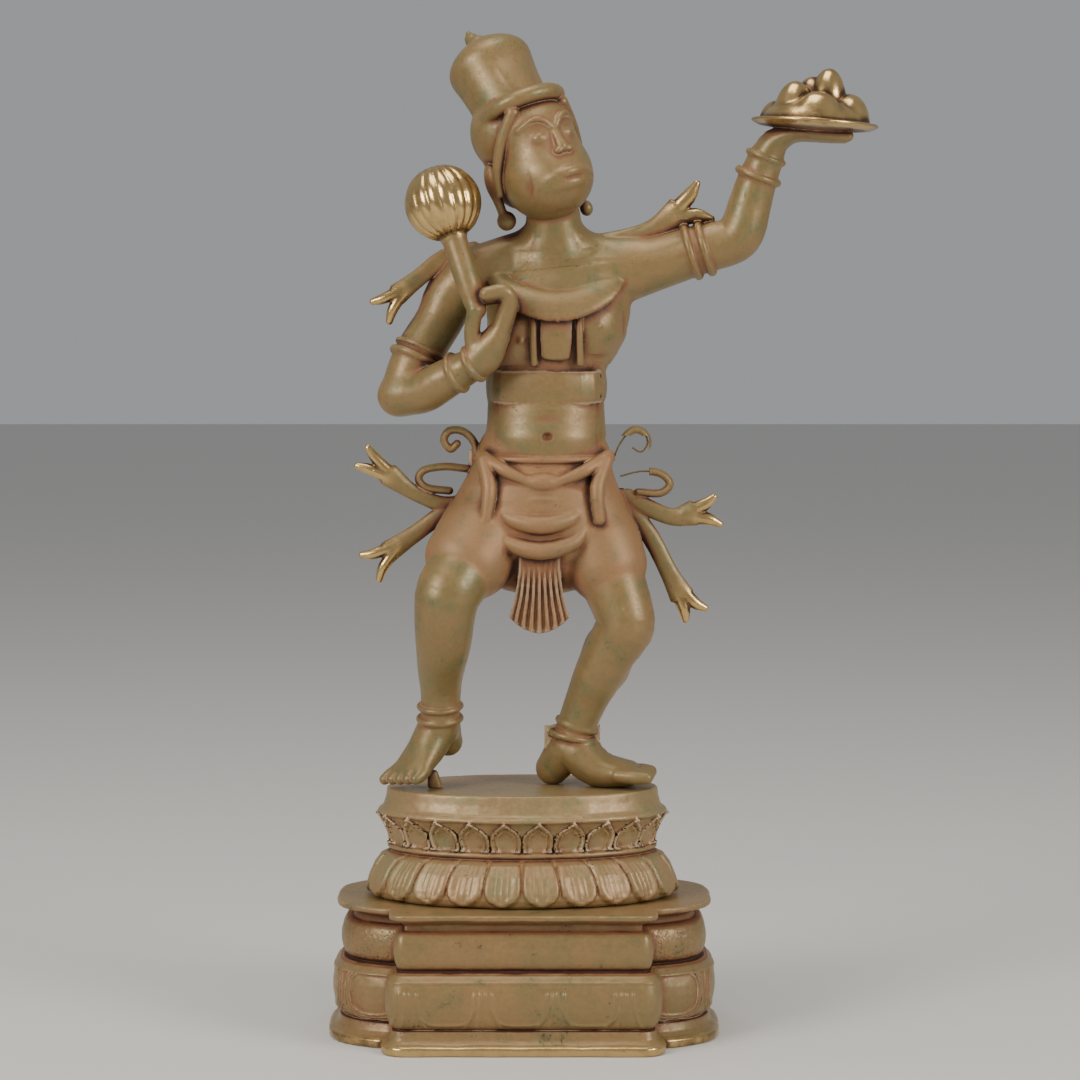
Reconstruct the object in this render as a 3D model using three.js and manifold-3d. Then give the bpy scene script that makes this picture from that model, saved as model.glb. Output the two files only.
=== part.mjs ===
// A cast bronze figure of a striding monkey-faced guardian, with a mace on his shoulder and a mountain on
// his raised palm. He stands on an oval double-lotus pedestal, which sits on a moulded plinth with a
// straight block before and behind.
// Millimetres, +Z up, the figure faces -Y, and the origin is the middle of the plinth's underside.
import * as THREE from "three";
import { mergeVertices } from "three/addons/utils/BufferGeometryUtils.js";
import Module from "manifold-3d";

// Driving dimensions
const PLINTH_TOP = 62.5;
const STANDING_LEVEL = 112.5; // the pedestal's top, where the soles rest
const LOBE = { halfWidth: 79, halfDepth: 40, power: 3.4 }; // oval body of the plinth, at its necks
const BLOCK = { halfWidth: 54, halfDepth: 53 }; // straight block through it, at its necks
const FIGURE_FACETS = 6100;
// The head is turned to his left and tilted to his right, in degrees.
const HEAD = { centre: [8, -6, 395], yaw: 29, roll: 14.5 };

const wasm = await Module();
wasm.setup();

// A closed geometry as a solid, turned right side out if its faces point inwards.
function solid(geometry) {
  const bare = geometry.clone();
  bare.deleteAttribute("normal");
  bare.deleteAttribute("uv");
  const merged = mergeVertices(bare, 1e-4);
  const vertProperties = new Float32Array(merged.attributes.position.array);
  const triVerts = new Uint32Array(merged.index.array);
  const make = () => new wasm.Manifold(new wasm.Mesh({ numProp: 3, vertProperties, triVerts }));
  const made = make();
  if (made.volume() > 0) return made;
  triVerts.reverse();
  return make();
}

function join(solids) {
  return solids.reduce((whole, next) => whole.add(next));
}

// The outer shell alone: small voids enclosed between joined lumps are filled, as in a casting.
function outerShell(made) {
  return made.decompose().reduce((best, next) => (next.volume() > best.volume() ? next : best));
}

// The same solid with about `wanted` facets. Edges close in rounds, flattest places first,
// and an edge stays where closing it would fold the skin or pinch it shut.
function thinned(made, wanted) {
  const mesh = made.getMesh();
  const points = Array.from({ length: mesh.numVert }, (_, i) =>
    new THREE.Vector3().fromArray(mesh.vertProperties, i * mesh.numProp));
  let faces = Array.from({ length: mesh.numTri }, (_, i) =>
    Array.from(mesh.triVerts.subarray(i * 3, i * 3 + 3)));
  // For each point, the summed squared distance to the planes around it, as a symmetric 4 x 4 form.
  const terms = [0, 1, 2, 3].flatMap((i) => [0, 1, 2, 3].slice(i).map((j) => [i, j]));
  const bend = new Float64Array(points.length * terms.length);

  const normalOf = (a, b, c) => b.clone().sub(a).cross(c.clone().sub(a));
  const distanceError = (p, a, b) => {
    const place = [p.x, p.y, p.z, 1];
    let sum = 0;
    terms.forEach(([i, j], term) => {
      const value = place[i] * place[j] * (i === j ? 1 : 2);
      sum += (bend[a * terms.length + term] + bend[b * terms.length + term]) * value;
    });
    return sum;
  };
  for (const face of faces) {
    const normal = normalOf(...face.map((v) => points[v]));
    const area = normal.length() / 2;
    normal.normalize();
    const plane = [normal.x, normal.y, normal.z, -normal.dot(points[face[0]])];
    terms.forEach(([i, j], term) => {
      for (const v of face) bend[v * terms.length + term] += area * plane[i] * plane[j];
    });
  }

  for (let limit = 1e-4; faces.length > wanted && limit < 100; limit *= 1.3) {
    const around = points.map(() => []);
    faces.forEach((face) => face.forEach((v) => around[v].push(face)));
    const settled = new Uint8Array(points.length);
    let left = faces.length;
    const closeEdge = (a, b) => {
      if (settled[a] || settled[b] || left <= wanted) return;
      const middle = points[a].clone().add(points[b]).multiplyScalar(0.5);
      const [error, place] = [points[a], points[b], middle]
        .map((p) => [distanceError(p, a, b), p])
        .reduce((best, next) => (next[0] < best[0] ? next : best));
      if (error > limit) return;
      const near = (v) => new Set(around[v].flat().filter((other) => other !== v));
      const [nearA, nearB] = [near(a), near(b)];
      if ([...nearA].filter((v) => nearB.has(v)).length !== 2) return;
      const kept = [...around[a], ...around[b]].filter((face) => !(face.includes(a) && face.includes(b)));
      const folds = kept.some((face) => {
        const before = normalOf(...face.map((v) => points[v]));
        const after = normalOf(...face.map((v) => (v === a || v === b ? place : points[v])));
        return before.dot(after) <= 0.35 * before.length() * after.length();
      });
      if (folds) return;
      points[a] = place.clone();
      for (const face of around[b]) {
        if (face.includes(a)) face.closed = true;
        else face[face.indexOf(b)] = a;
      }
      terms.forEach((_, term) => {
        bend[a * terms.length + term] += bend[b * terms.length + term];
      });
      for (const v of [...nearA, ...nearB, a, b]) settled[v] = 1;
      left -= 2;
    };
    for (const face of faces) {
      for (let i = 0; i < 3 && !face.closed; i++) closeEdge(face[i], face[(i + 1) % 3]);
    }
    faces = faces.filter((face) => !face.closed);
  }
  const geometry = new THREE.BufferGeometry().setFromPoints(points).setIndex(faces.flat());
  return solid(geometry);
}

function meshOf(name, made, material) {
  const { numProp, numVert, vertProperties, triVerts } = made.getMesh();
  const positions = new Float32Array(numVert * 3);
  for (let i = 0; i < numVert; i++) {
    positions.set(vertProperties.subarray(i * numProp, i * numProp + 3), i * 3);
  }
  const geometry = new THREE.BufferGeometry()
    .setAttribute("position", new THREE.BufferAttribute(positions, 3))
    .setIndex(new THREE.BufferAttribute(triVerts, 1));
  const mesh = new THREE.Mesh(geometry, material);
  mesh.name = name;
  return mesh;
}

// A closed skin over rings with the same number of points, capped by a fan at each end.
function skin(rings) {
  const sides = rings[0].length;
  const points = rings.flat();
  const index = [];
  for (let r = 0; r < rings.length - 1; r++) {
    for (let s = 0; s < sides; s++) {
      const a = r * sides + s;
      const b = r * sides + ((s + 1) % sides);
      index.push(a, b, b + sides, a, b + sides, a + sides);
    }
  }
  const cap = (ring, first, flip) => {
    const middle = ring
      .reduce((sum, p) => sum.add(p), new THREE.Vector3())
      .divideScalar(sides);
    const centre = points.push(middle) - 1;
    for (let s = 0; s < sides; s++) {
      const a = first + s;
      const b = first + ((s + 1) % sides);
      index.push(...(flip ? [b, a, centre] : [a, b, centre]));
    }
  };
  cap(rings[0], 0, true);
  cap(rings[rings.length - 1], (rings.length - 1) * sides, false);
  return new THREE.BufferGeometry().setFromPoints(points).setIndex(index);
}

// A limb through stations [x, y, z, half width, half depth]; the half depth lies along `front` where it can.
function limb(stations, { sides = 10, rings = 6, front = [0, -1, 0], blunt = false } = {}) {
  const centres = new THREE.CatmullRomCurve3(
    stations.map(([x, y, z]) => new THREE.Vector3(x, y, z)), false, "centripetal");
  const sizes = new THREE.CatmullRomCurve3(
    stations.map(([, , , a, b]) => new THREE.Vector3(a, b ?? a, 0)), false, "catmullrom", 0.5);
  const frontAxis = new THREE.Vector3(...front);
  const ringAt = (t, along, scale) => {
    const tangent = centres.getTangent(t);
    const side = new THREE.Vector3().crossVectors(frontAxis, tangent).normalize();
    const depth = new THREE.Vector3().crossVectors(tangent, side);
    const size = sizes.getPoint(t).multiplyScalar(scale);
    const middle = centres.getPoint(t).addScaledVector(tangent, along * Math.min(size.x, size.y));
    return Array.from({ length: sides }, (_, s) => {
      const angle = (s / sides) * 2 * Math.PI;
      return middle
        .clone()
        .addScaledVector(side, Math.cos(angle) * size.x)
        .addScaledVector(depth, Math.sin(angle) * size.y);
    });
  };
  const body = Array.from({ length: rings }, (_, i) => ringAt(i / (rings - 1), 0, 1));
  const roundings = blunt ? [[], []] : [[ringAt(0, -1.3, 0.55)], [ringAt(1, 1.3, 0.55)]];
  return solid(skin([...roundings[0], ...body, ...roundings[1]]));
}

// A round lump; `turn` is in degrees about x, y and z.
function lump(centre, radii, { sides = 12, rings = 8, turn = [0, 0, 0] } = {}) {
  const geometry = new THREE.SphereGeometry(1, sides, rings);
  const angles = turn.map(THREE.MathUtils.degToRad);
  const placing = new THREE.Matrix4().compose(
    new THREE.Vector3(...centre),
    new THREE.Quaternion().setFromEuler(new THREE.Euler(...angles)),
    new THREE.Vector3(...radii));
  return solid(geometry.applyMatrix4(placing));
}

// A ring around a limb: `normal` is the limb's direction there.
function band(centre, normal, radius, tube, { squash = 1, sides = 14, across = 5 } = {}) {
  const geometry = new THREE.TorusGeometry(radius, tube, across, sides);
  geometry.scale(1, squash, 1);
  const turn = new THREE.Quaternion().setFromUnitVectors(
    new THREE.Vector3(0, 0, 1), new THREE.Vector3(...normal).normalize());
  geometry.applyQuaternion(turn).translate(...centre);
  return solid(geometry);
}

// The plinth

// An outline of the plinth's oval body, or of its block, grown outwards by `out`.
function lobeOutline(out, z, count = 32) {
  const a = LOBE.halfWidth + out;
  const b = LOBE.halfDepth + out;
  return Array.from({ length: count }, (_, i) => {
    const angle = (i / count) * 2 * Math.PI;
    const c = Math.cos(angle);
    const s = Math.sin(angle);
    const reach = (Math.abs(c) ** LOBE.power + Math.abs(s) ** LOBE.power) ** (-1 / LOBE.power);
    return new THREE.Vector3(a * reach * c, b * reach * s, z);
  });
}

function blockOutline(out, z, cornerSteps = 2) {
  const radius = Math.max(1, out * 1.2);
  const a = BLOCK.halfWidth + out - radius;
  const b = BLOCK.halfDepth + out - radius;
  const corners = [[a, b], [-a, b], [-a, -b], [a, -b]];
  return corners.flatMap(([x, y], corner) =>
    Array.from({ length: cornerSteps + 1 }, (_, i) => {
      const angle = (corner + i / cornerSteps) * (Math.PI / 2);
      return new THREE.Vector3(x + radius * Math.cos(angle), y + radius * Math.sin(angle), z);
    }));
}

// Half-round moulding from z0 to z1, standing `bulge` proud of `foot`.
function roundMoulding(z0, z1, foot, bulge, steps = 4) {
  return Array.from({ length: steps + 1 }, (_, i) => {
    const angle = (i / steps) * Math.PI;
    return [foot + bulge * Math.sin(angle), z0 + (z1 - z0) * (1 - Math.cos(angle)) / 2];
  });
}

// The plinth's profile as [outwards, z], from the ground to the top plate.
const PLINTH_PROFILE = [
  [10.4, 0], [10.4, 4], [8, 5], [6, 7], [5, 10.5],
  ...roundMoulding(11, 36, 3.2, 5.6),
  [1.2, 36.2],
  ...roundMoulding(37, 54, 0.6, 3.7),
  [-1.5, 54.5], [-1.5, 57.5], [3, 60], [6.3, 60.2], [6.3, PLINTH_TOP],
];

function plinth() {
  const oval = PLINTH_PROFILE.map(([out, z]) => lobeOutline(out, z));
  const block = PLINTH_PROFILE.map(([out, z]) => blockOutline(out * 0.92, z));
  return solid(skin(oval)).add(solid(skin(block)));
}

// The lotus pedestal

const PEDESTAL = { middleX: -0.85, halfWidth: 66, halfDepth: 41, petals: 22, facets: 2300 };

// Half-width and half-depth at each level, from the plinth up to the standing level.
const PEDESTAL_LEVELS = [
  [PLINTH_TOP, 66.5, 41], [64, 69.2, 43.5], [66.5, 70, 44], [71, 69, 43], [76, 66.8, 41],
  [81, 62.8, 37.4], [83.2, 60.6, 35.2], [84, 61.8, 36.2], [86.4, 61.8, 36.2], [87.2, 59.8, 34.4],
  [93, 61, 35.6], [99, 63.4, 38],
  [100.6, 66.2, 40.6], [102.2, 66, 40.4], [103.2, 64.4, 38.8], [STANDING_LEVEL, 61.4, 36.8],
];

// A petal's half width at each level, from its root to its tip.
const RISING_PETAL = [[87.4, 6], [90, 7], [94.5, 6.6], [98, 4.2], [100.4, 0.8]];
const HANGING_PETAL = [[82.6, 4.6], [78, 6.8], [71, 7.3], [66.6, 5.4], [64.6, 2]];
const PETAL_THICKNESS = 1.5;

function pedestalSizeAt(level) {
  const above = PEDESTAL_LEVELS.findIndex(([z]) => z >= level);
  const [[z0, a0, b0], [z1, a1, b1]] = [PEDESTAL_LEVELS[above - 1], PEDESTAL_LEVELS[above]];
  const share = (level - z0) / (z1 - z0);
  return [THREE.MathUtils.lerp(a0, a1, share), THREE.MathUtils.lerp(b0, b1, share)];
}

function pedestal() {
  const ovalAt = ([z, a, b]) =>
    new THREE.EllipseCurve(0, 0, a, b)
      .getSpacedPoints(48)
      .slice(1)
      .map(({ x, y }) => new THREE.Vector3(x, y, z));
  const body = skin(PEDESTAL_LEVELS.map(ovalAt));
  const { halfWidth: wide, halfDepth: deep } = PEDESTAL;
  const outline = new THREE.EllipseCurve(0, 0, wide, deep, -Math.PI / 2, 1.5 * Math.PI);
  const petals = Array.from({ length: PEDESTAL.petals }, (_, i) => {
    const angle = -Math.PI / 2 + 2 * Math.PI * outline.getUtoTmapping((i + 0.5) / PEDESTAL.petals);
    return [RISING_PETAL, HANGING_PETAL].map((levels) => {
      const stations = levels.map(([z, halfWidth]) => {
        const [a, b] = pedestalSizeAt(z);
        return [a * Math.cos(angle), b * Math.sin(angle), z, halfWidth, PETAL_THICKNESS];
      });
      const outwards = [Math.cos(angle) / wide, Math.sin(angle) / deep, 0];
      return limb(stations, { sides: 6, rings: 5, front: outwards, blunt: true });
    });
  });
  const whole = join([solid(body), ...petals.flat()]).translate([PEDESTAL.middleX, 0, 0]);
  const room = solid(new THREE.BoxGeometry(300, 300, STANDING_LEVEL - PLINTH_TOP)
    .translate(0, 0, (STANDING_LEVEL + PLINTH_TOP) / 2));
  return thinned(outerShell(whole.intersect(room)), PEDESTAL.facets);
}

// The figure

function torso() {
  const trunk = limb([
    [8, 0, 222, 26, 17],
    [8.5, 0, 240, 33, 20],
    [9.4, 0, 258, 29.5, 18.5],
    [10, -1, 272, 27.4, 19],
    [9.9, 0, 288, 26.4, 16.5],
    [9, 0, 300, 26.4, 16.5],
    [11, 0, 312, 28.6, 17.5],
    [14.5, 0, 325, 32.6, 19],
    [15.5, 1, 338, 32.6, 18.5],
    [14.5, 2, 349, 28, 15],
    [13.8, 1, 358, 17, 13],
    [13.6, 0, 369, 12.4, 12.5],
    [11.5, -1, 384, 12, 12],
  ], { sides: 16, rings: 16 });
  const shoulders = limb([
    [-27, 3, 348, 9, 10], [-8, 4, 354.5, 9, 10], [13, 4, 360, 8.5, 10], [36, 4, 355, 8.6, 10],
    [50, 3, 354, 9, 10],
  ], { sides: 12, rings: 9 });
  return trunk.add(shoulders);
}

function chest() {
  return join([
    lump([31, -8, 323], [11.5, 10, 11.5]),
    lump([-4, -9, 319], [11.5, 10, 12.5], { turn: [0, 15, 0] }),
    lump([10, -7, 272], [21, 14, 13]),
    lump([10.5, -15, 253], [15, 8, 5], { sides: 10, rings: 6 }),
  ]);
}

function legs() {
  const trailing = limb([
    [-12, 1, 240, 17, 16], [-22, -12, 221, 16.2, 15.5], [-33, -25, 205, 15, 14],
    [-35.5, -25, 193, 13.7, 13],
    [-36.3, -20, 180, 12.6, 12.4], [-37.7, -12.5, 166, 10.4, 10.6], [-37.9, -8, 155, 9.1, 9.4],
    [-38.4, -5, 139, 8.8, 9.4],
  ], { sides: 12, rings: 12, front: [0, -1, 0.1] });
  const leading = limb([
    [29, 1, 238, 18, 16], [37, -7, 216, 15.5, 15], [45.9, -14, 191, 13.3, 13], [43.8, -13, 183, 12.9, 12.6],
    [39.3, -11, 175.5, 12.1, 12], [33.2, -8, 163, 11, 11], [28.4, -4, 152, 9.6, 9.8],
    [22.4, 0, 136, 8.6, 9.4],
  ], { sides: 12, rings: 12, front: [0, -1, 0.1] });
  return trailing.add(leading);
}

// A foot through [x, y, z, half width, half height] at the heel, ankle, instep and ball, with five toes
// `toe` thick.
function foot(stations, toe, toeLength) {
  const heel = new THREE.Vector3(...stations[0]);
  const ball = new THREE.Vector3(...stations[3]);
  const way = ball.clone().sub(heel).normalize();
  const across = new THREE.Vector3(0, 0, 1).cross(way).normalize();
  const toes = Array.from({ length: 5 }, (_, i) => {
    const root = ball.clone().addScaledVector(across, (i - 2) * toe * 1.55);
    const tip = root.clone().addScaledVector(way, toeLength - i * 0.9);
    return limb([[...root.toArray(), toe], [...tip.toArray(), toe * 0.9]],
      { sides: 6, rings: 2, front: [0, 0, 1] });
  });
  return join([limb(stations, { sides: 10, rings: 7, front: [0, 0, 1] }), ...toes]);
}

function feet() {
  const trailing = foot([
    [-35, 2, 132.5, 6.8, 6.8], [-38.6, -3, 139, 9, 9.6], [-45, -8.5, 129.5, 9.8, 7.8],
    [-52, -14, 120.5, 11.5, 5.2],
  ], 2.9, 8);
  const leading = foot([
    [13, 5, 119.6, 7.6, 7.8], [21.5, 0, 129, 9.4, 10], [34, -3, 120.4, 10.8, 8.6], [47.5, -5, 118.6, 12, 6],
  ], 3.4, 11.5);
  const stub = limb([[-40, -9, 110, 4, 2.5], [-41.5, -10, 119, 2.5, 2]], { sides: 6, rings: 2 });
  return join([trailing, leading, stub]);
}

function anklets() {
  return join([
    band([-38.2, -7, 149.8], [0.02, 0.2, -0.98], 9.3, 1.4),
    band([-38.4, -5.4, 144], [0.02, 0.2, -0.98], 9.2, 1.6),
    band([24.2, -0.8, 140.5], [0.3, -0.1, 0.95], 8.8, 1.4),
    band([22, 0, 135], [0.2, 0, 0.98], 9.5, 1.7),
  ]);
}

function arms() {
  const folded = limb([
    [-12, 3, 345, 12, 12], [-24, 3, 344, 12.5, 12.5], [-33, 3, 336.5, 12, 12], [-38.5, 1, 325, 10.8, 11],
    [-46, -2, 313, 10.9, 11], [-51, -4, 303, 10.8, 11], [-56, -6.5, 291.5, 9.2, 10],
  ], { sides: 12, rings: 11, front: [0.4, -1, 0.2] });
  const foldedForearm = limb([
    [-57, -7, 291, 8.8, 9], [-46, -13, 292.5, 9.2, 9.5], [-36.5, -18.5, 298, 9, 9],
    [-23, -24, 305.5, 7.4, 7.6],
  ], { sides: 12, rings: 6, front: [0.4, -1, 0.2] });
  const raised = limb([
    [32, 2, 343, 13.5, 14], [44, 3, 347, 14.5, 13.5], [60, 1, 351, 12.4, 12],
    [80, -2, 357.2, 11.2, 11.2], [94, -4, 361, 10.6, 10.6], [98.8, -5, 366.5, 10.4, 10.4],
    [101.6, -5, 376, 9.8, 9.8], [104.8, -6, 387, 9, 9],
    [108.8, -7, 397.5, 8, 8],
  ], { sides: 12, rings: 14, front: [-0.2, -1, 0.3] });
  return join([folded, foldedForearm, raised]);
}

function armRings() {
  return join([
    band([-49, -3, 307.5], [0.42, 0.2, 0.88], 11.2, 1.7),
    band([-47, -2.5, 311.5], [0.42, 0.2, 0.88], 11.1, 1.2),
    band([-30, -21, 301.8], [0.86, -0.4, 0.4], 8.6, 1.3),
    band([-22.5, -24.2, 305.8], [0.84, -0.35, 0.5], 7.9, 1.3),
    band([76, -1.4, 356], [0.95, -0.1, 0.3], 11.4, 1.7),
    band([82, -2.2, 357.6], [0.95, -0.1, 0.3], 11.3, 1.7),
    band([105.6, -6, 390], [0.34, -0.1, 0.92], 9.3, 1.5),
    band([109, -7, 398.5], [0.34, -0.1, 0.92], 8.2, 1.2),
  ]);
}

// The folded arm's hand holds the mace's short handle between its thumb and the curled fingers.
function grippingHand() {
  const palm = limb([
    [-25, -23.5, 304.5, 7, 7], [-18, -26, 309.5, 8.5, 7], [-12, -27, 318, 6, 6.5],
  ], { sides: 8, rings: 5 });
  const thumb = limb([[-21.5, -26, 311, 4.2], [-23, -28, 320, 3.6], [-21.6, -31, 330, 3.4]],
    { sides: 7, rings: 5 });
  const fingers = Array.from({ length: 3 }, (_, i) => {
    const back = i * 4.6;
    return limb([
      [-13, -29 + back, 314, 4], [-9.4, -30 + back, 324 - i, 3.9], [-6.4, -32 + back, 333.5 - i, 3.8],
      [-9, -34 + back, 338 - i, 3.6], [-16.5, -35 + back, 337 - i, 3.1],
    ], { sides: 7, rings: 7 });
  });
  return join([palm, thumb, ...fingers]);
}

// The raised hand lies flat, palm up, under the mountain.
function openHand() {
  const palm = limb([
    [108.8, -7, 397.5, 8, 8], [113, -7.5, 405, 8.8, 6.4], [121, -8, 409, 11, 4.4],
    [131, -8.5, 408.8, 11, 3.6],
  ], { sides: 8, rings: 6, front: [-0.7, 0, 1] });
  const fingers = Array.from({ length: 4 }, (_, i) => {
    const y = -17 + i * 5.6;
    return limb([[129, y, 408.6, 3], [138, y, 407.8, 2.8], [145, y, 407.4, 2.5]],
      { sides: 6, rings: 3, front: [0, 0, 1] });
  });
  const thumb = limb([[113, 0, 404, 3], [120, 5, 408, 2.8], [128, 7.5, 409.5, 2.4]],
    { sides: 6, rings: 3, front: [0, 0, 1] });
  return join([palm, thumb, ...fingers]);
}

// The head, built facing -Y and then turned

function headPlacing() {
  const yaw = new THREE.Matrix4().makeRotationZ(THREE.MathUtils.degToRad(HEAD.yaw));
  const roll = new THREE.Matrix4().makeRotationY(THREE.MathUtils.degToRad(-HEAD.roll));
  return new THREE.Matrix4()
    .makeTranslation(...HEAD.centre)
    .multiply(roll)
    .multiply(yaw);
}

function face() {
  const brow = (side) =>
    limb([
      [side * 1, -19.4, 14.6, 1], [side * 4.5, -19, 18.4, 1.2], [side * 9, -16.8, 19.6, 1.2],
      [side * 14, -11.5, 16.4, 0.9],
    ], { sides: 5, rings: 6 });
  // A lip through its corner, the place half-way and its middle, mirrored.
  const lip = (corner, half, middle) => {
    const mirrored = [half, corner].map(([x, y, z, r]) => [-x, y, z, r]);
    return limb([corner, half, middle, ...mirrored], { sides: 6, rings: 7, front: [0, 0, 1] });
  };
  return join([
    lump([0, -1, 14], [17.8, 18, 17.5], { sides: 14, rings: 10 }),
    lump([0, -2.5, -5], [20.8, 20.6, 20.6], { sides: 16, rings: 12 }),
    lump([0, -11, -8.5], [14, 13.5, 11.5], { sides: 14, rings: 9 }),
    lip([-12.5, -17.5, -9.8, 1.6], [-7, -22.6, -7.4, 2.2], [0, -24.6, -6.6, 2.6]),
    lip([-11, -18, -11.8, 1.6], [-6, -22, -11.4, 2.4], [0, -23.4, -11.2, 2.8]),
    lump([0, -21.8, 4.6], [3.8, 3.4, 3], { sides: 8, rings: 6 }),
    limb([[0, -18.5, 14, 1.8], [0, -20.6, 9, 2.2], [0, -22, 5, 2.8]], { sides: 6, rings: 3 }),
    ...[-1, 1].map(brow),
    ...[-1, 1].map((side) => lump([side * 7, -16.6, 11], [3.4, 2.6, 2.5], { sides: 8, rings: 6 })),
  ]);
}

function earsAndRings() {
  return join([
    ...[-1, 1].map((side) => lump([side * 20, 12, -2], [3, 5, 8.5], { sides: 8, rings: 6 })),
    limb([[-20, 12, -8, 2.4], [-18.5, 13, -16, 2]], { sides: 6, rings: 2 }),
    lump([-17.2, 13.5, -20.3], [4.4, 4.2, 4.4], { sides: 10, rings: 7 }),
    limb([[19.5, 9, -8, 2.4], [19.5, 6, -18, 2]], { sides: 6, rings: 2 }),
    lump([19.6, 4.5, -23.5], [3, 3, 3.6], { sides: 8, rings: 6 }),
  ]);
}

function hair() {
  const lock = (side) =>
    limb([
      [side * 13, -9, 25, 3], [side * 18.5, -3, 14, 2.8], [side * 21.4, 2, 2, 2.5], [side * 21.5, 5, -8, 2],
    ], { sides: 7, rings: 6 });
  return join([
    lump([-1, 12, 18], [22, 19.5, 20.5], { sides: 16, rings: 10 }),
    lump([-1, 15, 0], [18, 14, 18], { sides: 12, rings: 8 }),
    band([-0.6, 3, 27.5], [0, 0.22, 0.97], 16.6, 3.8, { sides: 22, across: 6 }),
    ...[-1, 1].map(lock),
  ]);
}

// The tall cap: a fluted drum that flares to a beaded rim, with a low dome and a finial, leaning back.
function crown() {
  const cap = limb([
    [0, 13, 28, 18, 17.5], [0, 16.6, 35.8, 18, 17.5], [0, 20, 43, 18.8, 18.2], [0, 23.4, 50, 19.8, 19.2],
    [0, 25.6, 54.6, 17.6, 17], [0, 27.6, 58.6, 11.5, 11], [0, 28.6, 60.4, 5, 5],
  ], { sides: 20, rings: 11 });
  const crest = limb([[0, -1.5, 33, 6, 2.5], [0, 2, 41, 8, 3], [0, 6, 49, 8, 3], [0, 10.5, 56, 5, 2.5]],
    { sides: 8, rings: 6 });
  const finial = limb([[0, 29, 58, 3], [0, 32, 62, 3.6], [0, 34.6, 65.4, 3], [0, 35.4, 67.3, 1.4]],
    { sides: 8, rings: 6 });
  return join([cap, crest, finial]);
}

function head() {
  return join([face(), earsAndRings(), hair(), crown()]).transform(headPlacing().toArray());
}

// Clothes, jewellery and sashes

function loincloth() {
  const hips = limb([
    [7.5, 0, 219, 34, 19], [7.5, -1, 228, 41, 23.5], [8, -1, 242, 39, 23.5], [9, 0, 256, 33, 21.5],
    [9.6, 0, 264, 30.5, 20],
  ], { sides: 20, rings: 7, blunt: true });
  const nearLeg = limb([[-10, 2, 240, 20, 19], [-19, -7, 227, 20.5, 19.5], [-25, -14, 217.5, 20, 18.5]],
    { sides: 16, rings: 4, front: [0, -1, 0.6], blunt: true });
  const farLeg = limb([[25, 1, 238, 20, 18.5], [34, -4, 224, 19, 18.5], [37.5, -6.5, 214.5, 18.4, 18]],
    { sides: 16, rings: 4, front: [0, -1, 0.4], blunt: true });
  return join([hips, nearLeg, farLeg]);
}

function frontDrape() {
  const middleX = 7.5;
  const swag = (z, y, halfSpan, drop, tube, lift) =>
    limb([
      [middleX - halfSpan, y + 3, z + lift, tube * 0.7],
      [middleX - halfSpan * 0.75, y, z - drop * 0.45, tube],
      [middleX, y - 3, z - drop, tube * 1.15],
      [middleX + halfSpan * 0.75, y, z - drop * 0.45, tube],
      [middleX + halfSpan, y + 3, z + lift, tube * 0.7],
    ], { sides: 7, rings: 9 });
  return join([
    swag(238, -22, 17, 4.5, 3.8, 2),
    swag(229, -22, 20, 7, 3.6, 4),
    lump([8.5, -20.5, 252.5], [9.5, 5, 4.6], { sides: 12, rings: 6 }),
    lump([8.5, -20.5, 245], [8.5, 4.5, 2.6], { sides: 10, rings: 5 }),
    band([9.4, 0, 262.5], [0, 0, 1], 31, 1.7, { squash: 0.66, sides: 26 }),
    limb([[-19, -13, 264, 3], [-9, -20, 258, 3], [2, -22, 253, 2.2]], { sides: 6, rings: 5 }),
    limb([[38, -12, 264, 3], [28, -20, 258, 3], [16, -22, 253, 2.2]], { sides: 6, rings: 5 }),
    limb([[-18, -15, 262, 3.4], [-15.5, -21, 250, 3.4], [-17, -23, 236, 2.6]], { sides: 6, rings: 5 }),
    limb([[37, -14, 262, 3.4], [33, -21, 250, 3.4], [34, -22, 236, 2.6]], { sides: 6, rings: 5 }),
  ]);
}

// The pleated end of the loincloth: a fan of folds, widening and stepping down towards its middle.
function pleats() {
  const folds = 8;
  const ring = (y, z, halfWidth, thickness, fall) => {
    const edge = Array.from({ length: folds * 2 + 1 }, (_, i) => {
      const share = i / (folds * 2) - 0.5;
      const out = i % 2 ? thickness : thickness * 0.35;
      return new THREE.Vector3(7 + share * 2 * halfWidth, y - out, z - fall * Math.cos(share * Math.PI));
    });
    const back = edge.map((p) => new THREE.Vector3(p.x, y + 1.2, p.z)).reverse();
    return [...edge, ...back];
  };
  return solid(skin([
    ring(-17.5, 222, 9, 3.4, 0),
    ring(-18, 208, 9.5, 4, 1),
    ring(-18.5, 196, 12, 4, 3),
    ring(-19, 191.5, 13.8, 3.8, 8.5),
  ]));
}

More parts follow.
